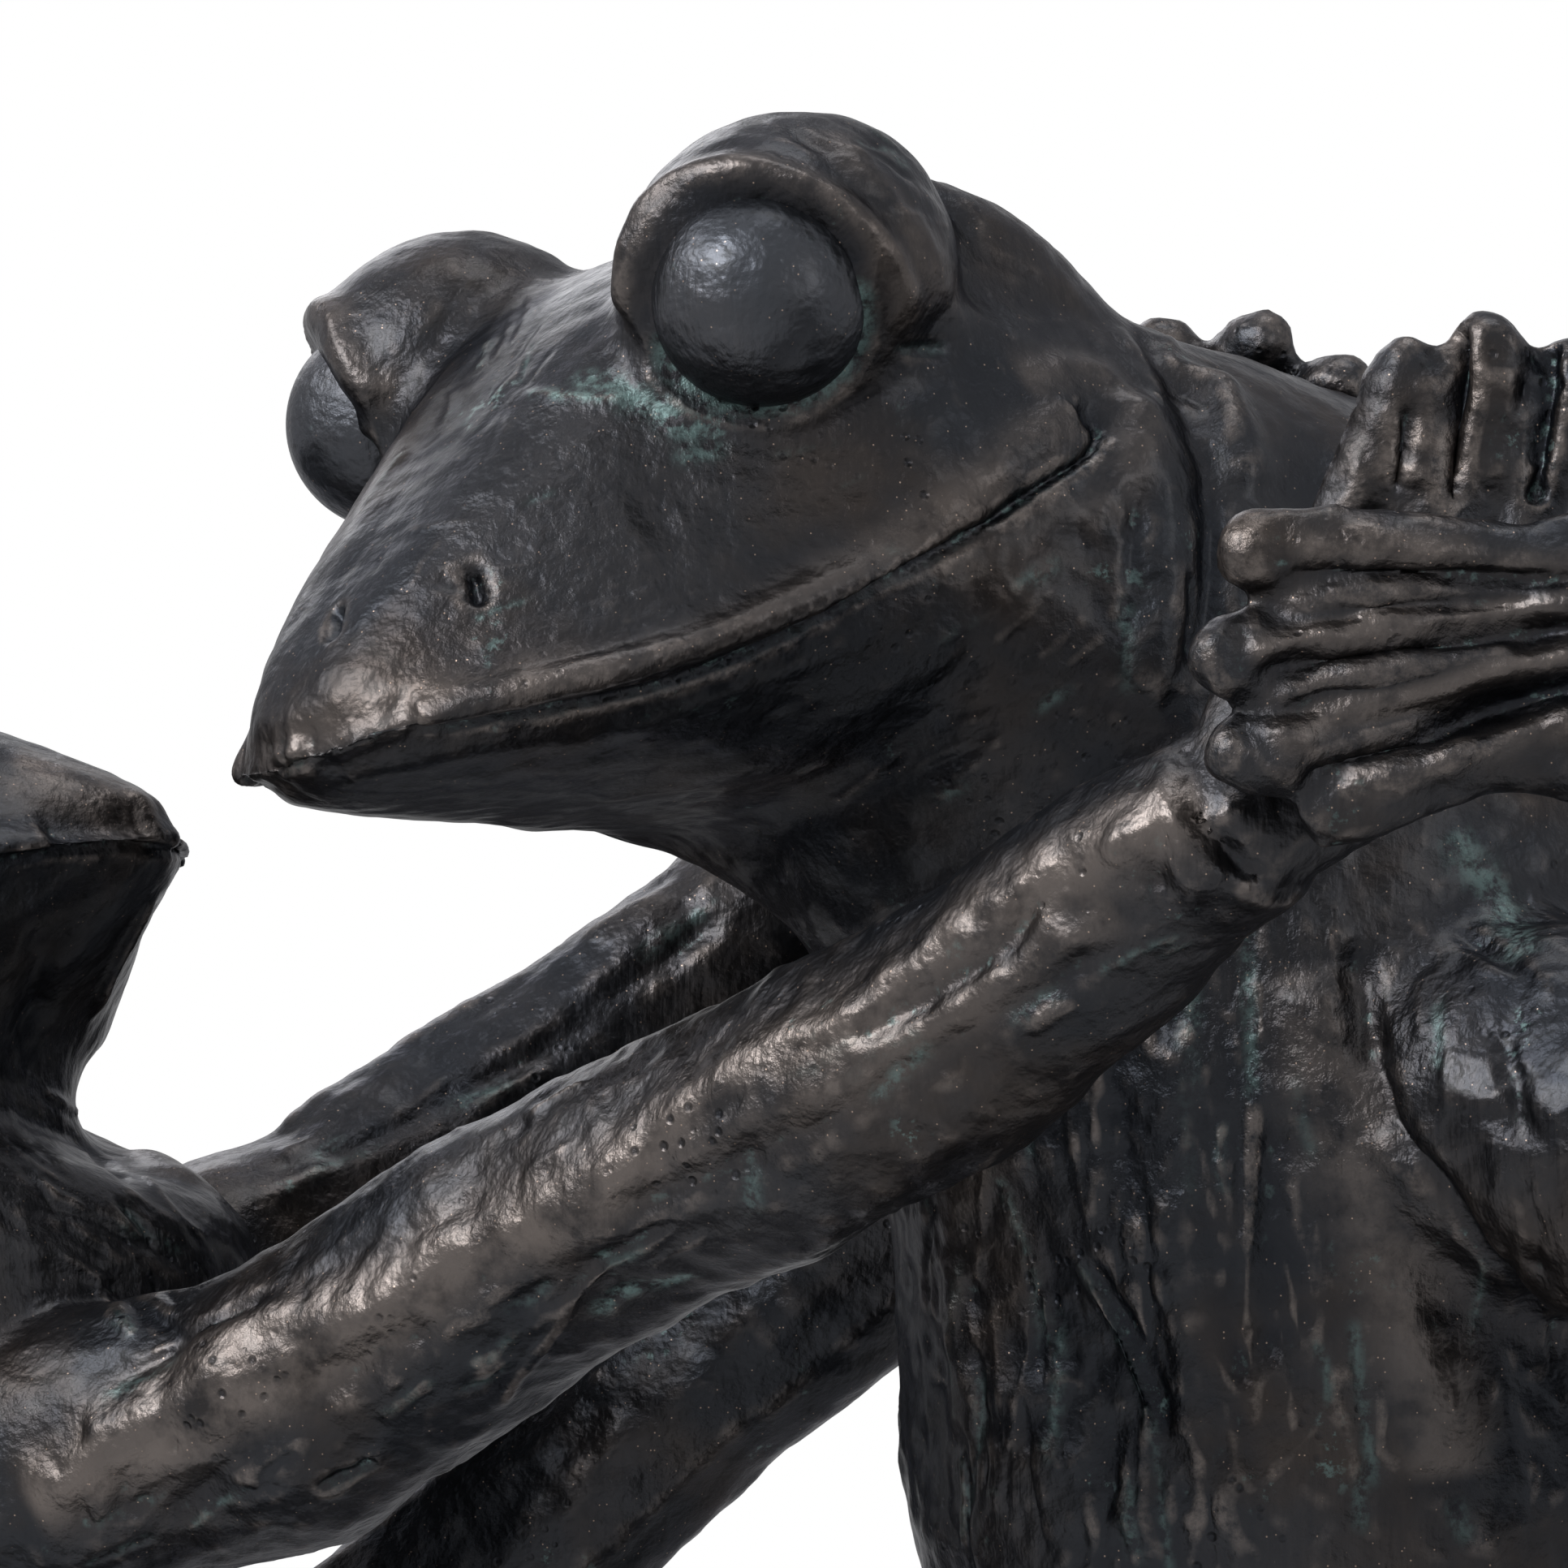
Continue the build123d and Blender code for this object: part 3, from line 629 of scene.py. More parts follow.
# grain, pits and brush lines of the painted resin, as one height and two masks
def makeBrushGrain():
    group, inside, outside = newGroup(
        "brushGrain", {"Pits": 1.0, "Lines": 1.0},
        {"Height": "NodeSocketFloat", "Pit Mask": "NodeSocketFloat", "Line Mask": "NodeSocketFloat"})
    place = objectPlace(group)
    crinkle = noiseNode(group, place, grainScales["crinkle"], 5.0, 0.62)
    crinkled = noiseNode(group, place, grainScales["crinkled"], 2.0)
    crinkled = rangeNode(group, crinkled, 0.40, 0.62, 0.35, 1.0)
    dents = noiseNode(group, place, grainScales["dents"], 3.0, 0.55)
    knocks = noiseNode(group, place, grainScales["knocks"], 2.0)
    cells = addNode(group, "ShaderNodeTexVoronoi", {"Vector": place, "Scale": grainScales["pits"]})
    pitted = rangeNode(group, noiseNode(group, place, grainScales["pitted"], 2.0), 0.57, 0.66)
    pit = times(group, rangeNode(group, cells.outputs["Distance"], 0.26, 0.12), pitted)
    squeezed = addNode(group, "ShaderNodeMapping", {"Vector": place, "Scale": (1.0, 1.0, 0.05),
                                                    "Rotation": (0.1, 0.25, 0.3)}).outputs["Vector"]
    hairs = noiseNode(group, squeezed, grainScales["hairs"], 2.0, 0.6)
    brushed = rangeNode(group, noiseNode(group, place, grainScales["brushed"], 2.0), 0.47, 0.60)
    lines = times(group, brushed, hairs)
    worked = mathNode(group, "ADD", times(group, dents, grainHeights["dents"]),
                      times(group, knocks, grainHeights["knocks"]))
    total = times(group, times(group, crinkle, grainHeights["crinkle"]), crinkled)
    total = mathNode(group, "ADD", total, worked)
    total = mathNode(group, "SUBTRACT", total, times(group, pit, inside.outputs["Pits"]))
    total = mathNode(group, "ADD", total, times(group, lines, inside.outputs["Lines"]))
    fill(group, outside, {"Height": total, "Pit Mask": pit, "Line Mask": lines})
    return group


patinaColours = {
    "black": (0.0160, 0.0175, 0.0210, 1),
    "brown": (0.026, 0.0212, 0.0190, 1),
    "blueBlack": (0.0090, 0.0105, 0.0140, 1),
    "bare": (0.230, 0.196, 0.178, 1),
    "sheen": (0.062, 0.067, 0.078, 1),
    "fleck": (0.45, 0.33, 0.26, 1),
    "verdigris": (0.110, 0.178, 0.172, 1),
}
patinaScales = {
    "cloud": 42.0, "blotch": 300.0, "speckle": 720.0, "flecks": 2400.0, "rubbing": 150.0,
    "drift": 95.0,
}
# how strongly each coat and mask of the patina shows; warmth is the brown laid along the rubbed paint and
# painted highlights
patinaShares = {
    "warmth": 0.5, "ridges": 0.8, "bare": 0.42, "lines": 0.08, "flecks": 0.50, "creases": 0.5,
    "spots": 0.6, "pits": 0.7,
}
# the paint's roughness from low to high, its metal, and what green and bare places change
patinaShine = {"rough": (0.30, 0.46), "greenRough": 0.15, "bareRough": 0.05, "metal": 0.88,
               "greenMetal": 0.70}


# lays one of the patina's colours over the colour so far
def coat(group, colour, name, share):
    return mixColour(group, share, colour, patinaColours[name])


# black paint over brown, rubbed thin on the ridges, with pale green left in the creases, blue-black in the
# hollows as dark patina and painted shade, and bright rubbed paint that is partly painted highlight
def makePatina():
    group, inside, outside = newGroup(
        "patina",
        {"Relief": 0.0, "Wide Relief": 0.0, "Pit Mask": 0.0, "Line Mask": 0.0, "Wear": 1.0,
         "Verdigris": 1.0, "Green Line": 0.0, "Polish And Highlight": 0.0, "Painted Shade": 0.0, "Sheen": 0.0},
        {"Color": "NodeSocketColor", "Roughness": "NodeSocketFloat", "Metal": "NodeSocketFloat"})
    given = inside.outputs
    place = objectPlace(group)
    cloud = noiseNode(group, place, patinaScales["cloud"], 5.0, 0.6)
    blotch = noiseNode(group, place, patinaScales["blotch"], 6.0, 0.75)
    speckle = noiseNode(group, place, patinaScales["speckle"], 5.0, 0.70)
    cells = addNode(group, "ShaderNodeTexVoronoi", {"Vector": place, "Scale": patinaScales["flecks"]})
    chosen = mathNode(group, "GREATER_THAN", cells.outputs["Color"], 0.84)
    fleck = times(group, rangeNode(group, cells.outputs["Distance"], 0.24, 0.12), chosen)

    # where the paint is rubbed bare on the ridges, where bright rubbed paint is laid, partly as painted
    # highlight, and where green is left
    ridge = times(group, rangeNode(group, given["Relief"], 0.02, 0.12),
                  rangeNode(group, blotch, 0.40, 0.60))
    rubbing = noiseNode(group, place, patinaScales["rubbing"], 5.0, 0.65)
    rubbed = times(group, given["Polish And Highlight"], rangeNode(group, rubbing, 0.34, 0.54))
    ridge = mathNode(group, "MAXIMUM", times(group, ridge, patinaShares["ridges"]), rubbed)
    # bare is the worn ridges and the bright rubbed paint, which is partly painted highlight
    bare = times(group, ridge, given["Wear"], clamp=True)
    bare = times(group, bare, mathNode(group, "SUBTRACT", 1.0, given["Painted Shade"]))
    crease = times(group, rangeNode(group, given["Relief"], -0.10, -0.26),
                   rangeNode(group, speckle, 0.54, 0.66))
    stain = times(group, given["Green Line"], rangeNode(group, speckle, 0.42, 0.58))
    drift = rangeNode(group, noiseNode(group, place, patinaScales["drift"], 3.0), 0.64, 0.72)
    spots = times(group, drift, rangeNode(group, speckle, 0.56, 0.64))
    green = mathNode(group, "MAXIMUM", times(group, crease, patinaShares["creases"]),
                     times(group, spots, patinaShares["spots"]))
    green = times(group, mathNode(group, "MAXIMUM", green, stain), given["Verdigris"], clamp=True)

    # the coats, from the first to the last
    colour = mixColour(group, rangeNode(group, cloud, 0.50, 0.70), patinaColours["black"],
                       patinaColours["brown"])
    # blue-black in the hollows, as dark patina and as painted shade, and wherever painted shade is marked
    hollow = mathNode(group, "MAXIMUM", rangeNode(group, given["Wide Relief"], 0.10, -0.60),
                      given["Painted Shade"])
    colour = coat(group, colour, "blueBlack", hollow)
    colour = coat(group, colour, "sheen", given["Sheen"])
    # brown and bare paint along the rubbed strokes, partly painted highlight
    colour = coat(group, colour, "brown", times(group, given["Polish And Highlight"], patinaShares["warmth"]))
    colour = coat(group, colour, "bare", times(group, bare, patinaShares["bare"]))
    colour = coat(group, colour, "bare", times(group, given["Line Mask"], patinaShares["lines"]))
    colour = coat(group, colour, "fleck", times(group, fleck, patinaShares["flecks"]))
    colour = coat(group, colour, "verdigris", green)
    colour = coat(group, colour, "blueBlack", times(group, given["Pit Mask"], patinaShares["pits"]))

    rough = rangeNode(group, blotch, 0.3, 0.7, *patinaShine["rough"])
    rough = mathNode(group, "ADD", rough, times(group, green, patinaShine["greenRough"]))
    rough = mathNode(group, "SUBTRACT", rough, times(group, bare, patinaShine["bareRough"]))
    metal = mathNode(group, "SUBTRACT", patinaShine["metal"],
                     times(group, green, patinaShine["greenMetal"]))
    fill(group, outside, {"Color": colour, "Roughness": rough, "Metal": metal})
    return group


brushGrain = makeBrushGrain()
patina = makePatina()


def newMaterial(name):
    material = bpy.data.materials.new(name)
    material.use_nodes = True
    tree = material.node_tree
    return material, tree, tree.nodes["Principled BSDF"]


# how pitted, brushed, worn, green, shiny and uneven each bronze finish is
bronzes = {
    "castBronze": {"pits": 1.0, "lines": 0.35, "wear": 1.0, "verdigris": 1.0, "sheen": 0.0,
                   "bump": 0.60},
    "eyeBronze": {"pits": 0.5, "lines": 0.5, "wear": 0.6, "verdigris": 0.3, "sheen": 0.45,
                  "bump": 0.60},
    "plinthBronze": {"pits": 1.4, "lines": 0.3, "wear": 0.6, "verdigris": 0.6, "sheen": 0.0,
                     "bump": 0.80},
}
# what they share: the bump's depth in metres, the tint of reflections and a thin wax coat
bronzeSurface = {"depth": 0.00045, "tint": (0.45, 0.45, 0.47, 1), "wax": 0.10, "waxRoughness": 0.20}


def bronze(name):
    look = bronzes[name]
    material, tree, shader = newMaterial(name)
    grain = addNode(tree, "ShaderNodeGroup", {"Pits": look["pits"], "Lines": look["lines"]},
                    node_tree=brushGrain)
    masks = {}
    for title, target in (("fineRelief", "Relief"), ("wideRelief", "Wide Relief"),
                          ("greenLine", "Green Line"), ("polish", "Polish And Highlight"), ("dark", "Painted Shade")):
        masks[target] = addNode(tree, "ShaderNodeAttribute", {}, attribute_name=title).outputs["Fac"]
    paint = addNode(tree, "ShaderNodeGroup", {
        "Wear": look["wear"], "Verdigris": look["verdigris"], "Sheen": look["sheen"],
        "Pit Mask": grain.outputs["Pit Mask"], "Line Mask": grain.outputs["Line Mask"], **masks,
    }, node_tree=patina)
    fill(tree, shader, {
        "Base Color": paint.outputs["Color"],
        "Roughness": paint.outputs["Roughness"],
        "Metallic": paint.outputs["Metal"],
        "Normal": bumpNode(tree, grain.outputs["Height"], look["bump"], bronzeSurface["depth"]),
        "Specular Tint": bronzeSurface["tint"],
        "Coat Weight": bronzeSurface["wax"],
        "Coat Roughness": bronzeSurface["waxRoughness"],
    })
    return material


castBronze, eyeBronze, plinthBronze = (bronze(name) for name in bronzes)

felt = {"dark": (0.006, 0.010, 0.008, 1), "pale": (0.022, 0.030, 0.026, 1), "fibres": 1400.0,
        "roughness": 0.95, "sheen": 0.4, "bump": 0.6, "depth": 0.0004}


def makeFelt():
    material, tree, shader = newMaterial("darkFelt")
    fibre = noiseNode(tree, objectPlace(tree), felt["fibres"], 4.0)
    fill(tree, shader, {
        "Base Color": mixColour(tree, fibre, felt["dark"], felt["pale"]),
        "Roughness": felt["roughness"],
        "Sheen Weight": felt["sheen"],
        "Normal": bumpNode(tree, fibre, felt["bump"], felt["depth"]),
    })
    return material


steel = {"dark": (0.35, 0.35, 0.36, 1), "pale": (0.55, 0.55, 0.56, 1), "drawing": 600.0,
         "roughness": (0.25, 0.4), "bump": 0.2, "depth": 0.0002}


def makeSteel():
    material, tree, shader = newMaterial("drawnSteel")
    drawn = noiseNode(tree, objectPlace(tree), steel["drawing"], 3.0)
    fill(tree, shader, {
        "Base Color": mixColour(tree, drawn, steel["dark"], steel["pale"]),
        "Roughness": rangeNode(tree, drawn, 0.3, 0.7, *steel["roughness"]),
        "Metallic": 1.0,
        "Normal": bumpNode(tree, drawn, steel["bump"], steel["depth"]),
    })
    return material


print("finishes:", ", ".join(bronzes))

# The leader's strokes, in the order in which they are pressed. Bright rubbed paint along them is partly
# painted highlight, and their dark paint is painted shade.
leaderStrokes = [
    strokeAt("roll of the upper lip", 2.0, 0.6, [(350, 918), (450, 882), (600, 848), (700, 834),
             (800, 812), (900, 776), (1000, 724), (1100, 670), (1200, 604), (1270, 548), (1325, 508)],
             mirror=True, fade=1.0, polish=0.5),
    strokeAt("flat front of the lips", 2.6, -1.2, mirror=True, fade=2.0, shares=[(0.98, 0.04, -0.01),
             (0.96, 0.2, -0.01), (0.91, 0.42, -0.01)]),
    strokeAt("lower lip", 1.8, 0.3, [(420, 958), (600, 922), (800, 888), (1000, 806), (1200, 702),
             (1330, 612)], mirror=True, fade=1.0),
    strokeAt("mouth", 0.6, -1.15, [(335, 953), (420, 928), (600, 887), (700, 872), (800, 850),
             (900, 815), (1000, 766), (1100, 714), (1200, 655), (1280, 600), (1340, 560), (1356, 532)],
             mirror=True, fade=0, green=0.55),
    strokeAt("curl round the corner", 2.2, 0.8, [(1250, 474), (1320, 450), (1366, 466), (1394, 512),
             (1394, 562), (1366, 620), (1330, 668)], mirror=True, polish=0.4),
    strokeAt("hollow in the corner", 1.7, -0.7, [(1318, 500), (1345, 515), (1354, 545)], mirror=True,
             fade=2.0),
    strokeAt("rim of the hood", 1.5, 0.95, [(764, 392), (770, 318), (796, 254), (846, 216), (912, 205),
             (978, 220), (1040, 258), (1088, 308), (1114, 362), (1112, 412)], mirror=True, eye=True,
             polish=0.7),
    strokeAt("line under the eye", 0.6, -0.5, [(794, 400), (812, 450), (860, 488), (925, 504),
             (990, 492), (1042, 458), (1072, 414)], mirror=True, eye=True, green=0.95),
    strokeAt("lower lid", 0.9, 0.3, [(780, 424), (806, 474), (856, 512), (925, 528), (995, 515),
             (1052, 476), (1090, 432)], mirror=True, eye=True),
    strokeAt("corner wrinkle", 0.7, -0.7, [(1076, 366), (1088, 392), (1090, 420)], mirror=True,
             eye=True, fade=2.0),
    strokeAt("crease from the corner", 0.6, -0.4, [(1098, 428), (1132, 430), (1170, 427)], mirror=True,
             eye=True, fade=2.0, green=0.3),
    strokeAt("fold behind the eye", 2.4, 0.6, [(1150, 396), (1200, 402), (1250, 424), (1290, 446)],
             mirror=True, eye=True),
    strokeAt("stain before the eye", 0.7, 0.25, [(645, 482), (700, 487), (750, 489), (790, 484)],
             green=0.75, fade=2.0),
    strokeAt("stain under the lid", 1.6, 0.0, [(700, 462), (770, 486), (815, 508), (850, 528),
             (910, 520)], green=0.6),
    strokeAt("spots on the cheek", 1.0, 0.0, [(822, 566), (870, 556), (905, 545)], green=0.45),
    strokeAt("brow line", 1.0, -0.28, [(920, 170), (965, 160), (1005, 176), (1045, 215), (1085, 257),
             (1118, 292), (1142, 320)], mirror=True),
    strokeAt("brow roll", 2.0, 0.3, [(1010, 155), (1055, 196), (1100, 250), (1130, 300), (1180, 372)],
             mirror=True, polish=0.4),
    strokeAt("second brow line", 1.3, -0.25, [(1090, 190), (1150, 235), (1200, 295), (1245, 372)],
             mirror=True),
    strokeAt("nostril", 0.85, -1.5, [(582, 708), (589, 734)], fade=0),
    strokeAt("far nostril", 0.75, -1.2, [(414, 756), (409, 780)], fade=0),
    strokeAt("dent beside the nostril", 0.8, -0.4, [(548, 716), (560, 722)], green=0.5, fade=0),
    strokeAt("ridge of the snout", 3.0, 0.5, [(668, 335), (600, 408), (535, 488), (478, 580),
             (440, 660), (410, 720)]),
    strokeAt("hollow of the cheek", 6.0, -0.5, [(760, 640), (880, 620), (1000, 580), (1120, 520)],
             mirror=True),
    strokeAt("throat fold", 3.0, 0.5, [(700, 985), (860, 960), (1010, 900), (1150, 800), (1280, 700)],
             mirror=True),
    strokeAt("neck sinew", 3.0, 1.4, [(1390, 470), (1420, 560), (1440, 660), (1435, 760), (1400, 880)]),
    strokeAt("neck hollow", 2.2, -1.5, [(1440, 440), (1480, 540), (1500, 640), (1490, 740),
             (1450, 850)]),
    strokeAt("outer sinew of the neck", 2.6, 1.2, [(1490, 450), (1530, 540), (1550, 620)]),
    strokeAt("furrow behind the cheek", 1.4, -0.8, [(1400, 400), (1440, 450), (1520, 520)]),
    strokeAt("neck front", 4.0, 0.8, [(960, 1060), (1040, 1110), (1120, 1150)]),
    strokeAt("raised scar on the chest", 0.6, 0.5, [(1317, 1550), (1342, 1592), (1383, 1675),
             (1408, 1733), (1421, 1792)], green=0.25),
    strokeAt("groove beside the scar", 1.1, -0.6, [(1332, 1540), (1362, 1592), (1404, 1675),
             (1428, 1733), (1442, 1792)]),
    strokeAt("breast line", 0.7, 0.4, [(1550, 1342), (1542, 1475), (1537, 1600), (1542, 1683),
             (1543, 1750)]),
    strokeAt("groove of the breast line", 1.6, -0.5, [(1572, 1342), (1566, 1475), (1560, 1600),
             (1566, 1700)]),
    strokeAt("breast line, left", 0.6, 0.35, [(1490, 1655), (1529, 1721), (1543, 1752)]),
    strokeAt("breast hollow", 4.5, -0.8, [(1250, 1420), (1300, 1560), (1350, 1720), (1370, 1880)]),
    strokeAt("long muscle of the chest", 3.6, 1.5, [(1625, 1180), (1633, 1308), (1667, 1417),
             (1708, 1517), (1742, 1633), (1775, 1733), (1783, 1833)], polish=0.6),
    strokeAt("armpit", 1.6, -1.6, [(1667, 1150), (1683, 1267), (1717, 1375), (1775, 1467), (1825, 1550),
             (1908, 1625)]),
    strokeAt("shoulder fold", 1.0, -0.9, [(1783, 1133), (1850, 1175), (1892, 1208)]),
    strokeAt("shade on the shoulder", 7.0, 0.0, [(1800, 1170), (1850, 1300), (1900, 1430)], dark=0.8),
    strokeAt("shoulder muscle", 3.5, 0.5, [(1760, 1190), (1800, 1290), (1860, 1400), (1915, 1500)]),
    strokeAt("chest muscle, inner", 2.6, 0.8, [(1450, 1250), (1440, 1360), (1450, 1500), (1470, 1640),
             (1480, 1800)]),
    strokeAt("chest muscle, outer", 2.4, 0.7, [(1210, 1380), (1180, 1500), (1180, 1640), (1200, 1800)]),
    strokeAt("first finger", 1.1, 0.7, [(1585, 676), (1640, 674), (1700, 672), (1800, 690), (1900, 700),
             (1990, 700)], polish=0.9, fade=2.0),
    strokeAt("upper edge of the first finger", 1.4, 0.6, [(1600, 645), (1700, 625), (1800, 620),
             (1900, 616), (1990, 610)]),
    strokeAt("second finger", 1.1, 0.8, [(1530, 812), (1592, 793), (1650, 786), (1740, 770),
             (1832, 758), (1930, 745), (1990, 740)], polish=1.0, fade=2.0),
    strokeAt("upper edge of the second finger", 0.8, 0.7, [(1570, 750), (1620, 738), (1680, 730),
             (1760, 726), (1860, 728), (1990, 724)], polish=0.4),
    strokeAt("third finger", 1.2, 0.8, [(1556, 916), (1607, 897), (1650, 878), (1720, 862), (1784, 845),
             (1858, 822), (1960, 800)], polish=1.0, fade=2.0),
    strokeAt("upper edge of the third finger", 0.8, 0.7, [(1544, 866), (1592, 852), (1640, 834),
             (1720, 820), (1800, 806), (1900, 780)], polish=0.3),
    strokeAt("fourth finger", 1.2, 0.9, [(1640, 990), (1700, 966), (1745, 950), (1820, 925),
             (1900, 895), (1980, 880)], polish=0.6),
    # the dark in the furrows is painted shade between the fingers
    strokeAt("furrow one", 1.3, -1.1, [(1560, 718), (1620, 708), (1690, 702), (1760, 706), (1860, 716),
             (1990, 716)], dark=0.8, fade=3.0),
    strokeAt("furrow two", 1.3, -1.4, [(1530, 846), (1600, 826), (1670, 808), (1760, 796), (1860, 782),
             (1990, 770)], dark=0.9, fade=3.0),
    strokeAt("furrow three", 1.4, -1.6, [(1590, 972), (1660, 940), (1730, 915), (1800, 890),
             (1880, 864), (1970, 840)], dark=0.9, fade=3.0),
    strokeAt("lower edge of the third finger", 0.8, 0.6, [(1600, 942), (1660, 924), (1720, 902),
             (1790, 878)]),
    strokeAt("first fingertip", 3.0, 1.0, [(1534, 680), (1546, 682)], fade=0, polish=0.6),
    strokeAt("neck of the first fingertip", 1.1, -0.8, [(1584, 640), (1580, 670), (1578, 705)],
             fade=1.0),
    strokeAt("second fingertip", 2.6, 1.0, [(1492, 806), (1500, 812)], fade=0, polish=0.8),
    strokeAt("neck of the second fingertip", 1.1, -0.8, [(1530, 770), (1522, 800), (1518, 835)],
             fade=1.0),
    strokeAt("third fingertip", 2.4, 0.9, [(1512, 928), (1520, 932)], fade=0, polish=0.8),
    strokeAt("neck of the third fingertip", 0.9, -0.7, [(1540, 895), (1534, 925), (1536, 955)],
             fade=1.0),
    strokeAt("heel of the hand", 1.8, 1.0, [(1608, 1006), (1618, 1012)], fade=0, polish=0.8),
    strokeAt("second knob of the heel", 1.6, 0.9, [(1628, 1044), (1640, 1046)], fade=0, polish=0.8),
    # the dark in this crease is painted shade
    strokeAt("crease of the heel", 1.0, -0.8, [(1590, 985), (1604, 1030), (1620, 1070)], dark=0.5,
             fade=1.0),
    strokeAt("green at the armpit", 2.0, 0.0, [(1790, 1015), (1815, 1060), (1850, 1100), (1880, 1180)],
             green=0.45),
    strokeAt("spine", 4.0, -2.2, side=180, points=[(-62, 244), (-60, 270), (-56, 315), (-51, 352),
             (-46, 385), (-42, 408)]),
    strokeAt("near shoulder blade", 6.5, 2.4, side=180, points=[(-68, 396), (-72, 376), (-73, 355)]),
    strokeAt("far shoulder blade", 6.5, 2.4, side=180, points=[(-31, 398), (-36, 378), (-40, 356)]),
    strokeAt("hip hollow, near", 4.0, -0.9, side=180, points=[(-78, 290), (-74, 268), (-68, 250)]),
    strokeAt("hip hollow, far", 4.0, -0.9, side=180, points=[(-44, 290), (-46, 268), (-52, 250)]),
]
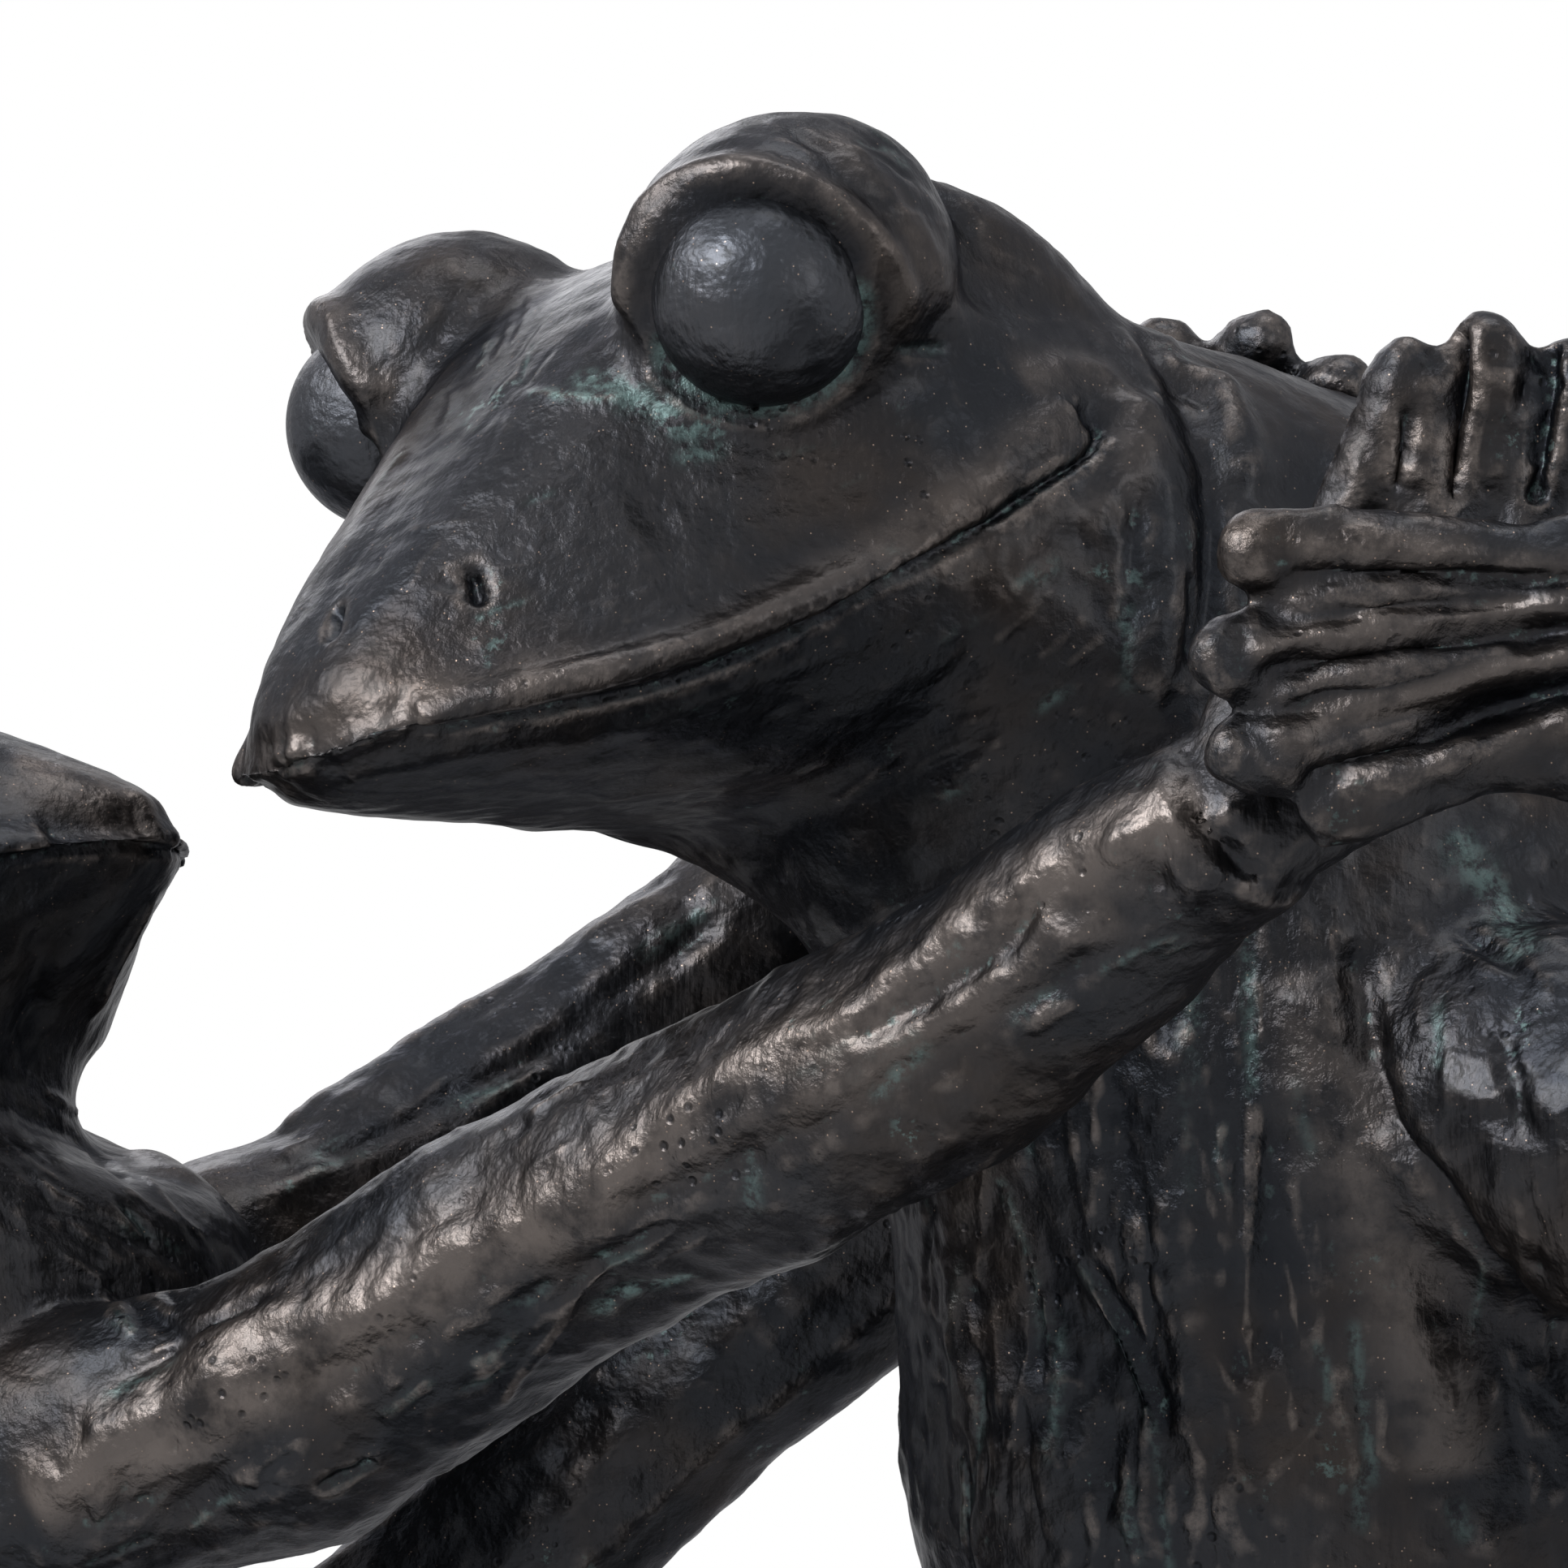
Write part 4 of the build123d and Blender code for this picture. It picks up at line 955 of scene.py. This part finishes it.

# The follower's strokes. The ones round its eyes come from the leader's. Bright rubbed paint along them is
# partly painted highlight, and their dark paint is painted shade.
followerStrokes = [
    strokeAt("flat front of the lips", 2.6, -1.2, mirror=True, fade=2.0, shares=[(0.98, 0.04, -0.01),
             (0.96, 0.2, -0.01), (0.91, 0.42, -0.01)]),
    strokeAt("midline of the throat", 1.1, 0.9, [(192, 1095), (160, 1150), (132, 1205), (112, 1262)]),
    strokeAt("side of the throat", 3.0, -0.8, [(60, 1120), (50, 1200), (40, 1290)]),
    strokeAt("front of the neck", 3.5, 1.0, [(95, 1330), (150, 1400), (230, 1460)], polish=0.4),
    strokeAt("neck wrinkle", 1.2, -0.6, [(10, 1370), (90, 1400), (180, 1470)]),
    strokeAt("chest fold", 1.0, -0.5, [(20, 1480), (110, 1500), (230, 1560)]),
    strokeAt("ridge band of the near arm", 3.0, 1.1, [(83, 1790), (208, 1715), (333, 1630), (458, 1600),
             (583, 1525), (727, 1460), (893, 1325), (1027, 1275), (1143, 1175), (1268, 1100),
             (1393, 1025), (1493, 983)], polish=1.0),
    strokeAt("upper groove", 1.0, -0.7, [(125, 1717), (200, 1675), (275, 1625), (350, 1583)]),
    strokeAt("groove between the bands", 1.2, -0.9, [(905, 1330), (952, 1305), (1060, 1275),
             (1143, 1228), (1243, 1160), (1285, 1105), (1360, 1030)]),
    strokeAt("lower band", 2.0, 0.8, [(820, 1440), (930, 1385), (1040, 1335), (1160, 1265),
             (1270, 1190), (1380, 1110)], polish=0.6),
    strokeAt("edge below the band", 1.5, -0.8, [(740, 1520), (793, 1483), (893, 1442), (993, 1385),
             (1143, 1300), (1252, 1235), (1360, 1168)]),
    strokeAt("upper arm band", 2.4, 0.8, [(40, 1850), (160, 1775), (290, 1700), (420, 1640),
             (560, 1580)], polish=1.0),
    strokeAt("lower groove", 1.6, -0.9, [(205, 1890), (250, 1833), (333, 1767), (400, 1717),
             (467, 1667), (560, 1620)]),
    # the dark in these creases is painted shade
    strokeAt("facet crease", 0.8, -0.7, [(209, 1718), (214, 1760), (223, 1800)], dark=0.4, fade=2.0),
    strokeAt("second facet crease", 0.8, -0.6, [(120, 1790), (150, 1830), (140, 1880)], dark=0.3,
             fade=2.0),
    strokeAt("third facet crease", 0.7, -0.5, [(60, 1800), (95, 1835), (110, 1900)], fade=2.0),
    strokeAt("short dark groove", 0.8, -0.8, [(391, 1836), (430, 1818), (464, 1800)], dark=0.8,
             green=0.3, fade=1.0),
    strokeAt("cross crease", 1.0, -0.6, [(947, 1317), (915, 1350), (877, 1400)]),
    strokeAt("second cross crease", 1.0, -0.5, [(700, 1440), (690, 1480), (650, 1530)]),
    strokeAt("third cross crease", 1.0, -0.5, [(1280, 1090), (1260, 1130), (1220, 1180)]),
    strokeAt("scratch", 0.55, 0.5, [(610, 1742), (630, 1705), (668, 1658), (718, 1592), (768, 1546)]),
    strokeAt("vein", 0.7, 0.5, [(383, 1850), (420, 1830), (455, 1795), (500, 1790)]),
    strokeAt("bottom edge", 2.2, 0.6, [(660, 1770), (760, 1680), (900, 1585), (1080, 1470),
             (1240, 1340)]),
    strokeAt("wrist knob", 2.2, 1.2, [(1455, 1070), (1468, 1078)], fade=0, polish=0.9),
    strokeAt("second wrist knob", 1.8, 1.0, [(1386, 1048), (1400, 1040)], fade=0, polish=0.9),
    strokeAt("third wrist knob", 1.6, 0.9, [(1500, 1010), (1515, 998)], fade=0),
    strokeAt("wrist hollow", 1.4, -0.9, [(1425, 1020), (1432, 1060), (1420, 1100)], fade=1.0),
    strokeAt("elbow knob", 3.0, 0.8, [(905, 1375), (925, 1368)], fade=0),
    strokeAt("furrow between raised fingers", 0.9, -1.8, [(1800, 395), (1798, 480), (1790, 620)],
             fade=1.0),
    strokeAt("second furrow", 0.9, -1.8, [(1905, 395), (1902, 480), (1893, 620)], fade=1.0),
    strokeAt("sinew of a raised finger", 1.3, 0.6, [(1762, 450), (1758, 520), (1748, 610)], fade=2.0),
    strokeAt("crease in a raised finger", 0.7, -0.6, [(1735, 490), (1728, 550), (1716, 620)], fade=2.0),
    strokeAt("sinew of the second finger", 1.5, 0.6, [(1852, 440), (1850, 520), (1840, 610)], fade=2.0),
    strokeAt("green streak on the arm", 0.9, -0.15, [(727, 1625), (765, 1600), (800, 1592),
             (868, 1575)], green=0.75),
    strokeAt("green streak, upper", 0.8, 0.0, [(1068, 1358), (1100, 1330), (1152, 1283)], green=0.5),
    strokeAt("green streak across", 1.0, 0.0, [(927, 1433), (925, 1465), (931, 1500)], green=0.4),
    strokeAt("green streak, lower", 0.9, 0.0, [(120, 1722), (180, 1700), (240, 1668)], green=0.5),
    strokeAt("shade on the far arm", 5.0, 0.0, [(330, 1430), (500, 1345), (700, 1225), (880, 1100)],
             dark=0.6),
    strokeAt("light on the snout", 5.0, 0.0, [(8, 925), (80, 945), (150, 978), (200, 1015)],
             polish=0.8),
    strokeAt("bright band", 2.8, 0.3, [(27, 1850), (218, 1773), (364, 1691), (473, 1627), (582, 1545),
             (727, 1482), (818, 1400)], polish=1.0),
    strokeAt("muscle of the far arm", 3.0, 0.9, [(330, 1400), (450, 1330), (600, 1240), (740, 1160),
             (850, 1090)]),
    strokeAt("groove of the far arm", 1.4, -0.8, [(380, 1440), (520, 1370), (660, 1290), (790, 1200),
             (900, 1120)]),
    strokeAt("spine", 4.0, -2.2, side=180, points=[(88, 244), (90, 275), (92, 310), (91, 345),
             (90, 370)]),
    strokeAt("near shoulder blade", 6.0, 2.2, side=180, points=[(72, 362), (72, 345), (74, 326)]),
    strokeAt("far shoulder blade", 6.0, 2.2, side=180, points=[(108, 362), (110, 345), (110, 326)]),
]

# Fields of chance scratches: start and end in pixels, spread, count, reach, width and height.
leaderScratches = [
    ((1380, 1180), (1440, 1900), 270, 120, 240, 0.60, 0.26),    # chest
    ((1800, 1150), (1880, 1900), 80, 16, 160, 0.70, 0.40),      # shoulder
    ((1430, 420), (1440, 900), 70, 18, 150, 0.80, 0.45),        # neck
    ((560, 760), (1150, 560), 130, 34, 110, 0.45, 0.13),        # cheek
    ((640, 360), (430, 760), 70, 18, 100, 0.50, 0.16),          # snout
    ((1000, 960), (1330, 760), 120, 24, 130, 0.55, 0.16),       # throat
    ((960, 150), (1300, 330), 60, 16, 120, 0.60, 0.22),         # brow
]
followerScratches = [
    ((60, 1860), (760, 1480), 110, 44, 130, 0.60, 0.34),        # near arm
    ((700, 1540), (1420, 1090), 90, 44, 130, 0.60, 0.30),       # forearm
    ((40, 1420), (240, 1600), 90, 22, 110, 0.60, 0.36),         # neck
    ((360, 1470), (860, 1180), 70, 24, 150, 0.80, 0.40),        # far arm
]
for seed, field in enumerate(leaderScratches, 1):
    leaderStrokes += scratches(*field, seed)
for seed, field in enumerate(followerScratches, len(leaderScratches) + 1):
    followerStrokes += scratches(*field, seed)

# Axes of the limbs and bodies, from the body outwards, and the strands pressed along them.
leaderLimbs = {
    "left_arm": {"axis": [(56, -12, 410), (72, -34, 406), (90, -48, 395), (106, -58, 383), (116, -69, 383),
                          (114, -81, 403), (103, -90, 428)], "reach": 20, "strands": 7, "relief": 0.45},
    "right_arm": {"axis": [(44, 22, 414), (33, 43, 412), (14, 52, 398), (-6, 55, 380.5), (-26, 56, 362),
                           (-46, 56, 347), (-66, 55, 336)], "reach": 20, "strands": 7, "relief": 0.55},
    "left_leg": {"axis": [(67, -5, 265), (69.5, -23, 228), (65, -33, 190), (57, -35, 152.5),
                          (65, -32, 111), (70, -28, 70), (71, -25, 40)],
                 "reach": 24, "strands": 9, "relief": 0.75},
    "right_leg": {"axis": [(55, 21, 265), (47, 34, 228), (33, 39, 194), (20, 40, 159), (24, 38, 115),
                           (29, 35, 72.5), (30, 34, 40)], "reach": 24, "strands": 9, "relief": 0.75},
    "torso": {"axis": [(63, 8, 242), (61.5, 7.5, 268), (56.5, 5, 314), (51, 3, 352), (46, 2, 388)],
              "reach": 50, "strands": 11, "relief": 0.8},
}
followerLimbs = {
    "right_arm": {"axis": [(-65, -20, 375), (-47, -29, 380.5), (-31, -39, 390.5), (-14, -50, 401.5),
                           (7, -65, 411.5), (27, -80, 425.5)], "reach": 20, "strands": 4, "relief": 0.4},
    "left_arm": {"axis": [(-84, 26, 376), (-63, 42, 384), (-44, 52, 393.5), (-26, 59, 404), (-9, 64, 417),
                          (6, 65, 432)], "reach": 20, "strands": 7, "relief": 0.55},
    "right_leg": {"axis": [(-86, -11, 263), (-81, -28, 226), (-68, -34, 191), (-55, -34, 156),
                           (-62, -32, 111), (-69, -30, 70), (-70, -29, 40)],
                  "reach": 24, "strands": 9, "relief": 0.75},
    "left_leg": {"axis": [(-89, 21, 263), (-90, 37, 226), (-84, 45, 189), (-77, 46, 151), (-89, 44, 110),
                          (-100, 41, 69), (-103, 39, 40)], "reach": 24, "strands": 9, "relief": 0.75},
    "torso": {"axis": [(-88, 5, 240), (-90, 6, 265), (-92, 7, 307), (-90.5, 8, 347)],
              "reach": 50, "strands": 11, "relief": 0.8},
}

frogs = {
    "leader": {
        "head": leaderHead, "strokes": leaderStrokes, "limbs": leaderLimbs, "seed": 3.1,
        "grain": 0.90,                                       # size of the skin's faces
        "webs": [[(39, -99.8, 452), (57, -98.0, 451)], [(38, -99.8, 443.6), (57, -97.8, 446)]],
        "fineSpots": [((-10, -30, 468), 54)],                # centre and radius of finer skin
        "fineBox": ((-30, -110, 355), (95, -12, 455)),       # the part that the photograph shows
    },
    "follower": {
        "head": followerHead, "strokes": followerStrokes, "limbs": followerLimbs, "seed": 8.4,
        "grain": 0.95,
        "webs": [],
        "fineSpots": [((-75, -2, 425), 40)],
        "fineBox": ((-75, -110, 350), (80, -18, 480)),
    },
}
frogNodes = ("torso", "head", "left_arm", "right_arm", "left_leg", "right_leg")

# how a fused skin is worked
shaping = {
    "firstRounds": 10, "refinedRounds": 3, "lastRounds": 1,     # rounds of smoothing
    "seamDepth": 0.35, "seamRounds": 40,    # creases as deep as this are melted
    "meltRounds": 50, "secondMelt": 0.6,    # the second melting reaches less far
    "webRadius": 2.5,                       # bars that join the clasped hands
    # the relief also lays green in the creases and painted shade in the hollows
    "coarseRelief": 0.4,                    # share of the relief that coarse skin shows as wear
    "gaze": (0.8, 0.6),                     # how far the eyes look outwards and ahead
    "lumps": [                              # size, height, seed, sharp crests, how much less on the face
        (14.0, 1.3, 0, False, 0.75),
        (7.0, 0.7, 5, True, 0.75),
        (2.6, 0.26, 9, False, 0.5),
    ],
}


# both sides of the lips, a little under their edge, from corner to corner
def lipLine(axes, head, drop):
    half = [axes.place(*share) - axes.up * drop * mm for share in head["lipShares"]]
    return half + [axes.mirrored(p) for p in reversed(half)]


# which points lie where the skin is made of finer faces
def isFine(points, plan):
    low, high = (np.array(corner) * mm for corner in plan["fineBox"])
    fine = ((points > low) & (points < high)).all(1)
    for centre, radius in plan["fineSpots"]:
        fine |= np.linalg.norm(points - np.array(centre) * mm, axis=1) < radius * mm
    return fine


# smooths both sides of the head round the given shares of it
def meltSpots(clay, axes, melts):
    amount = np.zeros(len(clay.points))
    for share, reach in melts:
        for spot in (axes.place(*share), axes.mirrored(axes.place(*share))):
            away = np.linalg.norm(clay.points - np.array(spot), axis=1)
            amount = np.maximum(amount, np.exp(-(away / (reach * mm)) ** 4))
    clay.relax(shaping["meltRounds"], amount, shrink=True)


def makeFrog(name, plan):
    head = plan["head"]
    axes = HeadAxes(head)
    plan["axes"] = axes
    nodeNames = [f"{name}_{part}" for part in frogNodes]

    # the fused skin, with eye sockets, mouth and clasped hands filled
    slitDrop, slitRadius = head["slitFill"]
    plugs = [barPlug(smoothLine(lipLine(axes, head, slitDrop), 2 * mm), slitRadius)]
    ahead, aside, above = head["eyeShare"]
    eyes = [axes.place(ahead, side, above) for side in (aside, -aside)]
    plugs += [ballPlug(eye, head["eyeFill"]) for eye in eyes]
    for web in plan["webs"]:
        plugs.append(barPlug(smoothLine([Vector(p) * mm for p in web]), shaping["webRadius"]))
    clay = Clay(fuse(nodeNames, plan["grain"], plugs))
    clay.relax(shaping["firstRounds"])
    clay.meltCreases(shaping["seamDepth"], shaping["seamRounds"])
    print(name, "fused:", len(clay.points), "points")

    clay.refine(isFine(clay.points, plan))
    clay.relax(shaping["refinedRounds"])
    clay.green, clay.polish, clay.dark = (np.zeros(len(clay.points)) for _ in range(3))
    clay.even = np.where(isFine(clay.points, plan), 1.0, shaping["coarseRelief"])
    meltSpots(clay, axes, head["melts"])
    print(name, "refined:", len(clay.points), "points")

    for number, limb in enumerate(plan["limbs"].values()):
        pressStrands(clay, limb, plan["seed"] + number)
    sculpt(clay, plan["strokes"], axes)
    if name == "follower":
        sculpt(clay, eyeStrokes(leaderStrokes, frogs["leader"]["axes"]), axes)
        normals = clay.normals()
        for drop, wide, high in head["lips"]:
            clay.press(normals, smoothLine(lipLine(axes, head, drop)), wide, high)
    meltSpots(clay, axes, [(share, reach * shaping["secondMelt"]) for share, reach in head["melts"]])
    out, on = shaping["gaze"]
    for eye, outward in zip(eyes, (axes.left, -axes.left)):
        gaze = (outward * out + axes.ahead * on).normalized()
        clay.openEye(eye, axes.up, gaze, head["eyeRadius"])
    clay.relax(shaping["lastRounds"])

    # lumps all over, fewer on the face, and nothing outside the CAD box
    normals = clay.normals()
    middle, reach = head["face"]
    away = np.linalg.norm(clay.points - np.array(axes.place(*middle)), axis=1)
    face = np.exp(-(away / (reach * mm)) ** 4)
    for size, high, seed, sharp, less in shaping["lumps"]:
        clay.lumps(normals, size, high, plan["seed"] + seed, 1 - less * face, sharp=sharp)
    np.clip(clay.points, np.array(cadLow), np.array(cadHigh), out=clay.points)
    print(name, "sculpted")
    divide(clay, nodeNames, castBronze)


for name, plan in frogs.items():
    makeFrog(name, plan)


def paint(nodeName, material):
    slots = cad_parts[nodeName].data.materials
    slots.clear()
    slots.append(material)


drawnSteel = makeSteel()
paint("plinth", plinthBronze)
paint("felt_sheet", makeFelt())
for nodeName in ("leg_rods", "shoulder_pins", "hip_pins", "neck_pins"):
    paint(nodeName, drawnSteel)
for frog in frogs:
    for side in ("left", "right"):
        paint(f"{frog}_{side}_eye", eyeBronze)
print("materials on the carried-over nodes")

studio = {
    "floorReach": 2.4,        # metres from the middle, fading to white before its edge
    "floorColour": (0.86, 0.86, 0.86, 1), "floorRoughness": 0.8,
    "floorFade": (0.45, 1.5),
    "worldLight": 0.22,
    "lamps": [                # place, target, size in metres and power in watts
        ("key", (-0.84, -0.66, 1.22), (0, 0, 0.46), (0.62, 0.50), 19.0),
        ("rim", (-1.02, -0.10, 1.20), (0, 0, 0.44), (0.50, 0.40), 4.5),
        ("top", (0.10, 0.15, 1.45), (0, 0, 0.42), (0.50, 0.36), 3.2),
        ("side", (1.00, -0.70, 0.85), (0, 0, 0.42), (0.25, 0.60), 1.8),
        ("back", (-0.40, 1.20, 1.10), (0, 0, 0.35), (0.60, 0.60), 5.0),
    ],
}


def makeFloor():
    mesh = bpy.data.meshes.new("floor")
    bm = bmesh.new()
    bmesh.ops.create_circle(bm, cap_ends=True, segments=96, radius=studio["floorReach"])
    bm.to_mesh(mesh)
    bm.free()
    floor = bpy.data.objects.new("floor", mesh)
    scene.collection.objects.link(floor)
    material, tree, shader = newMaterial("paleFloor")
    fill(tree, shader, {"Base Color": studio["floorColour"], "Roughness": studio["floorRoughness"]})
    far = addNode(tree, "ShaderNodeVectorMath", {0: objectPlace(tree)}, operation="LENGTH")
    path = tree.nodes.new("ShaderNodeLightPath")
    seen = mathNode(tree, "MAXIMUM", path.outputs["Is Camera Ray"], path.outputs["Is Glossy Ray"])
    white = tree.nodes.new("ShaderNodeEmission")
    faded = times(tree, seen, rangeNode(tree, far.outputs["Value"], *studio["floorFade"]))
    mix = addNode(tree, "ShaderNodeMixShader", {0: faded, 1: shader.outputs[0], 2: white.outputs[0]})
    tree.links.new(mix.outputs[0], tree.nodes["Material Output"].inputs["Surface"])
    mesh.materials.append(material)


def makeWorld():
    world = bpy.data.worlds.new("studio")
    scene.world = world
    world.use_nodes = True
    tree = world.node_tree
    background = tree.nodes["Background"]
    background.inputs["Color"].default_value = (1, 1, 1, 1)
    path = tree.nodes.new("ShaderNodeLightPath")
    seen = mathNode(tree, "MAXIMUM", path.outputs["Is Glossy Ray"], path.outputs["Is Transmission Ray"])
    seen = mathNode(tree, "MAXIMUM", seen, path.outputs["Is Camera Ray"])
    tree.links.new(rangeNode(tree, seen, 0.0, 1.0, studio["worldLight"], 1.0),
                   background.inputs["Strength"])


def makeLamp(name, place, target, size, power):
    data = bpy.data.lights.new(name, "AREA")
    data.shape = "RECTANGLE"
    data.size, data.size_y = size
    data.energy = power
    lamp = bpy.data.objects.new(name, data)
    lamp.location = place
    lamp.rotation_euler = (Vector(target) - Vector(place)).to_track_quat("-Z", "Y").to_euler()
    scene.collection.objects.link(lamp)


makeFloor()
makeWorld()
for lamp in studio["lamps"]:
    makeLamp(*lamp)
scene.view_settings.view_transform = "Standard"
print("floor, world and lamps")
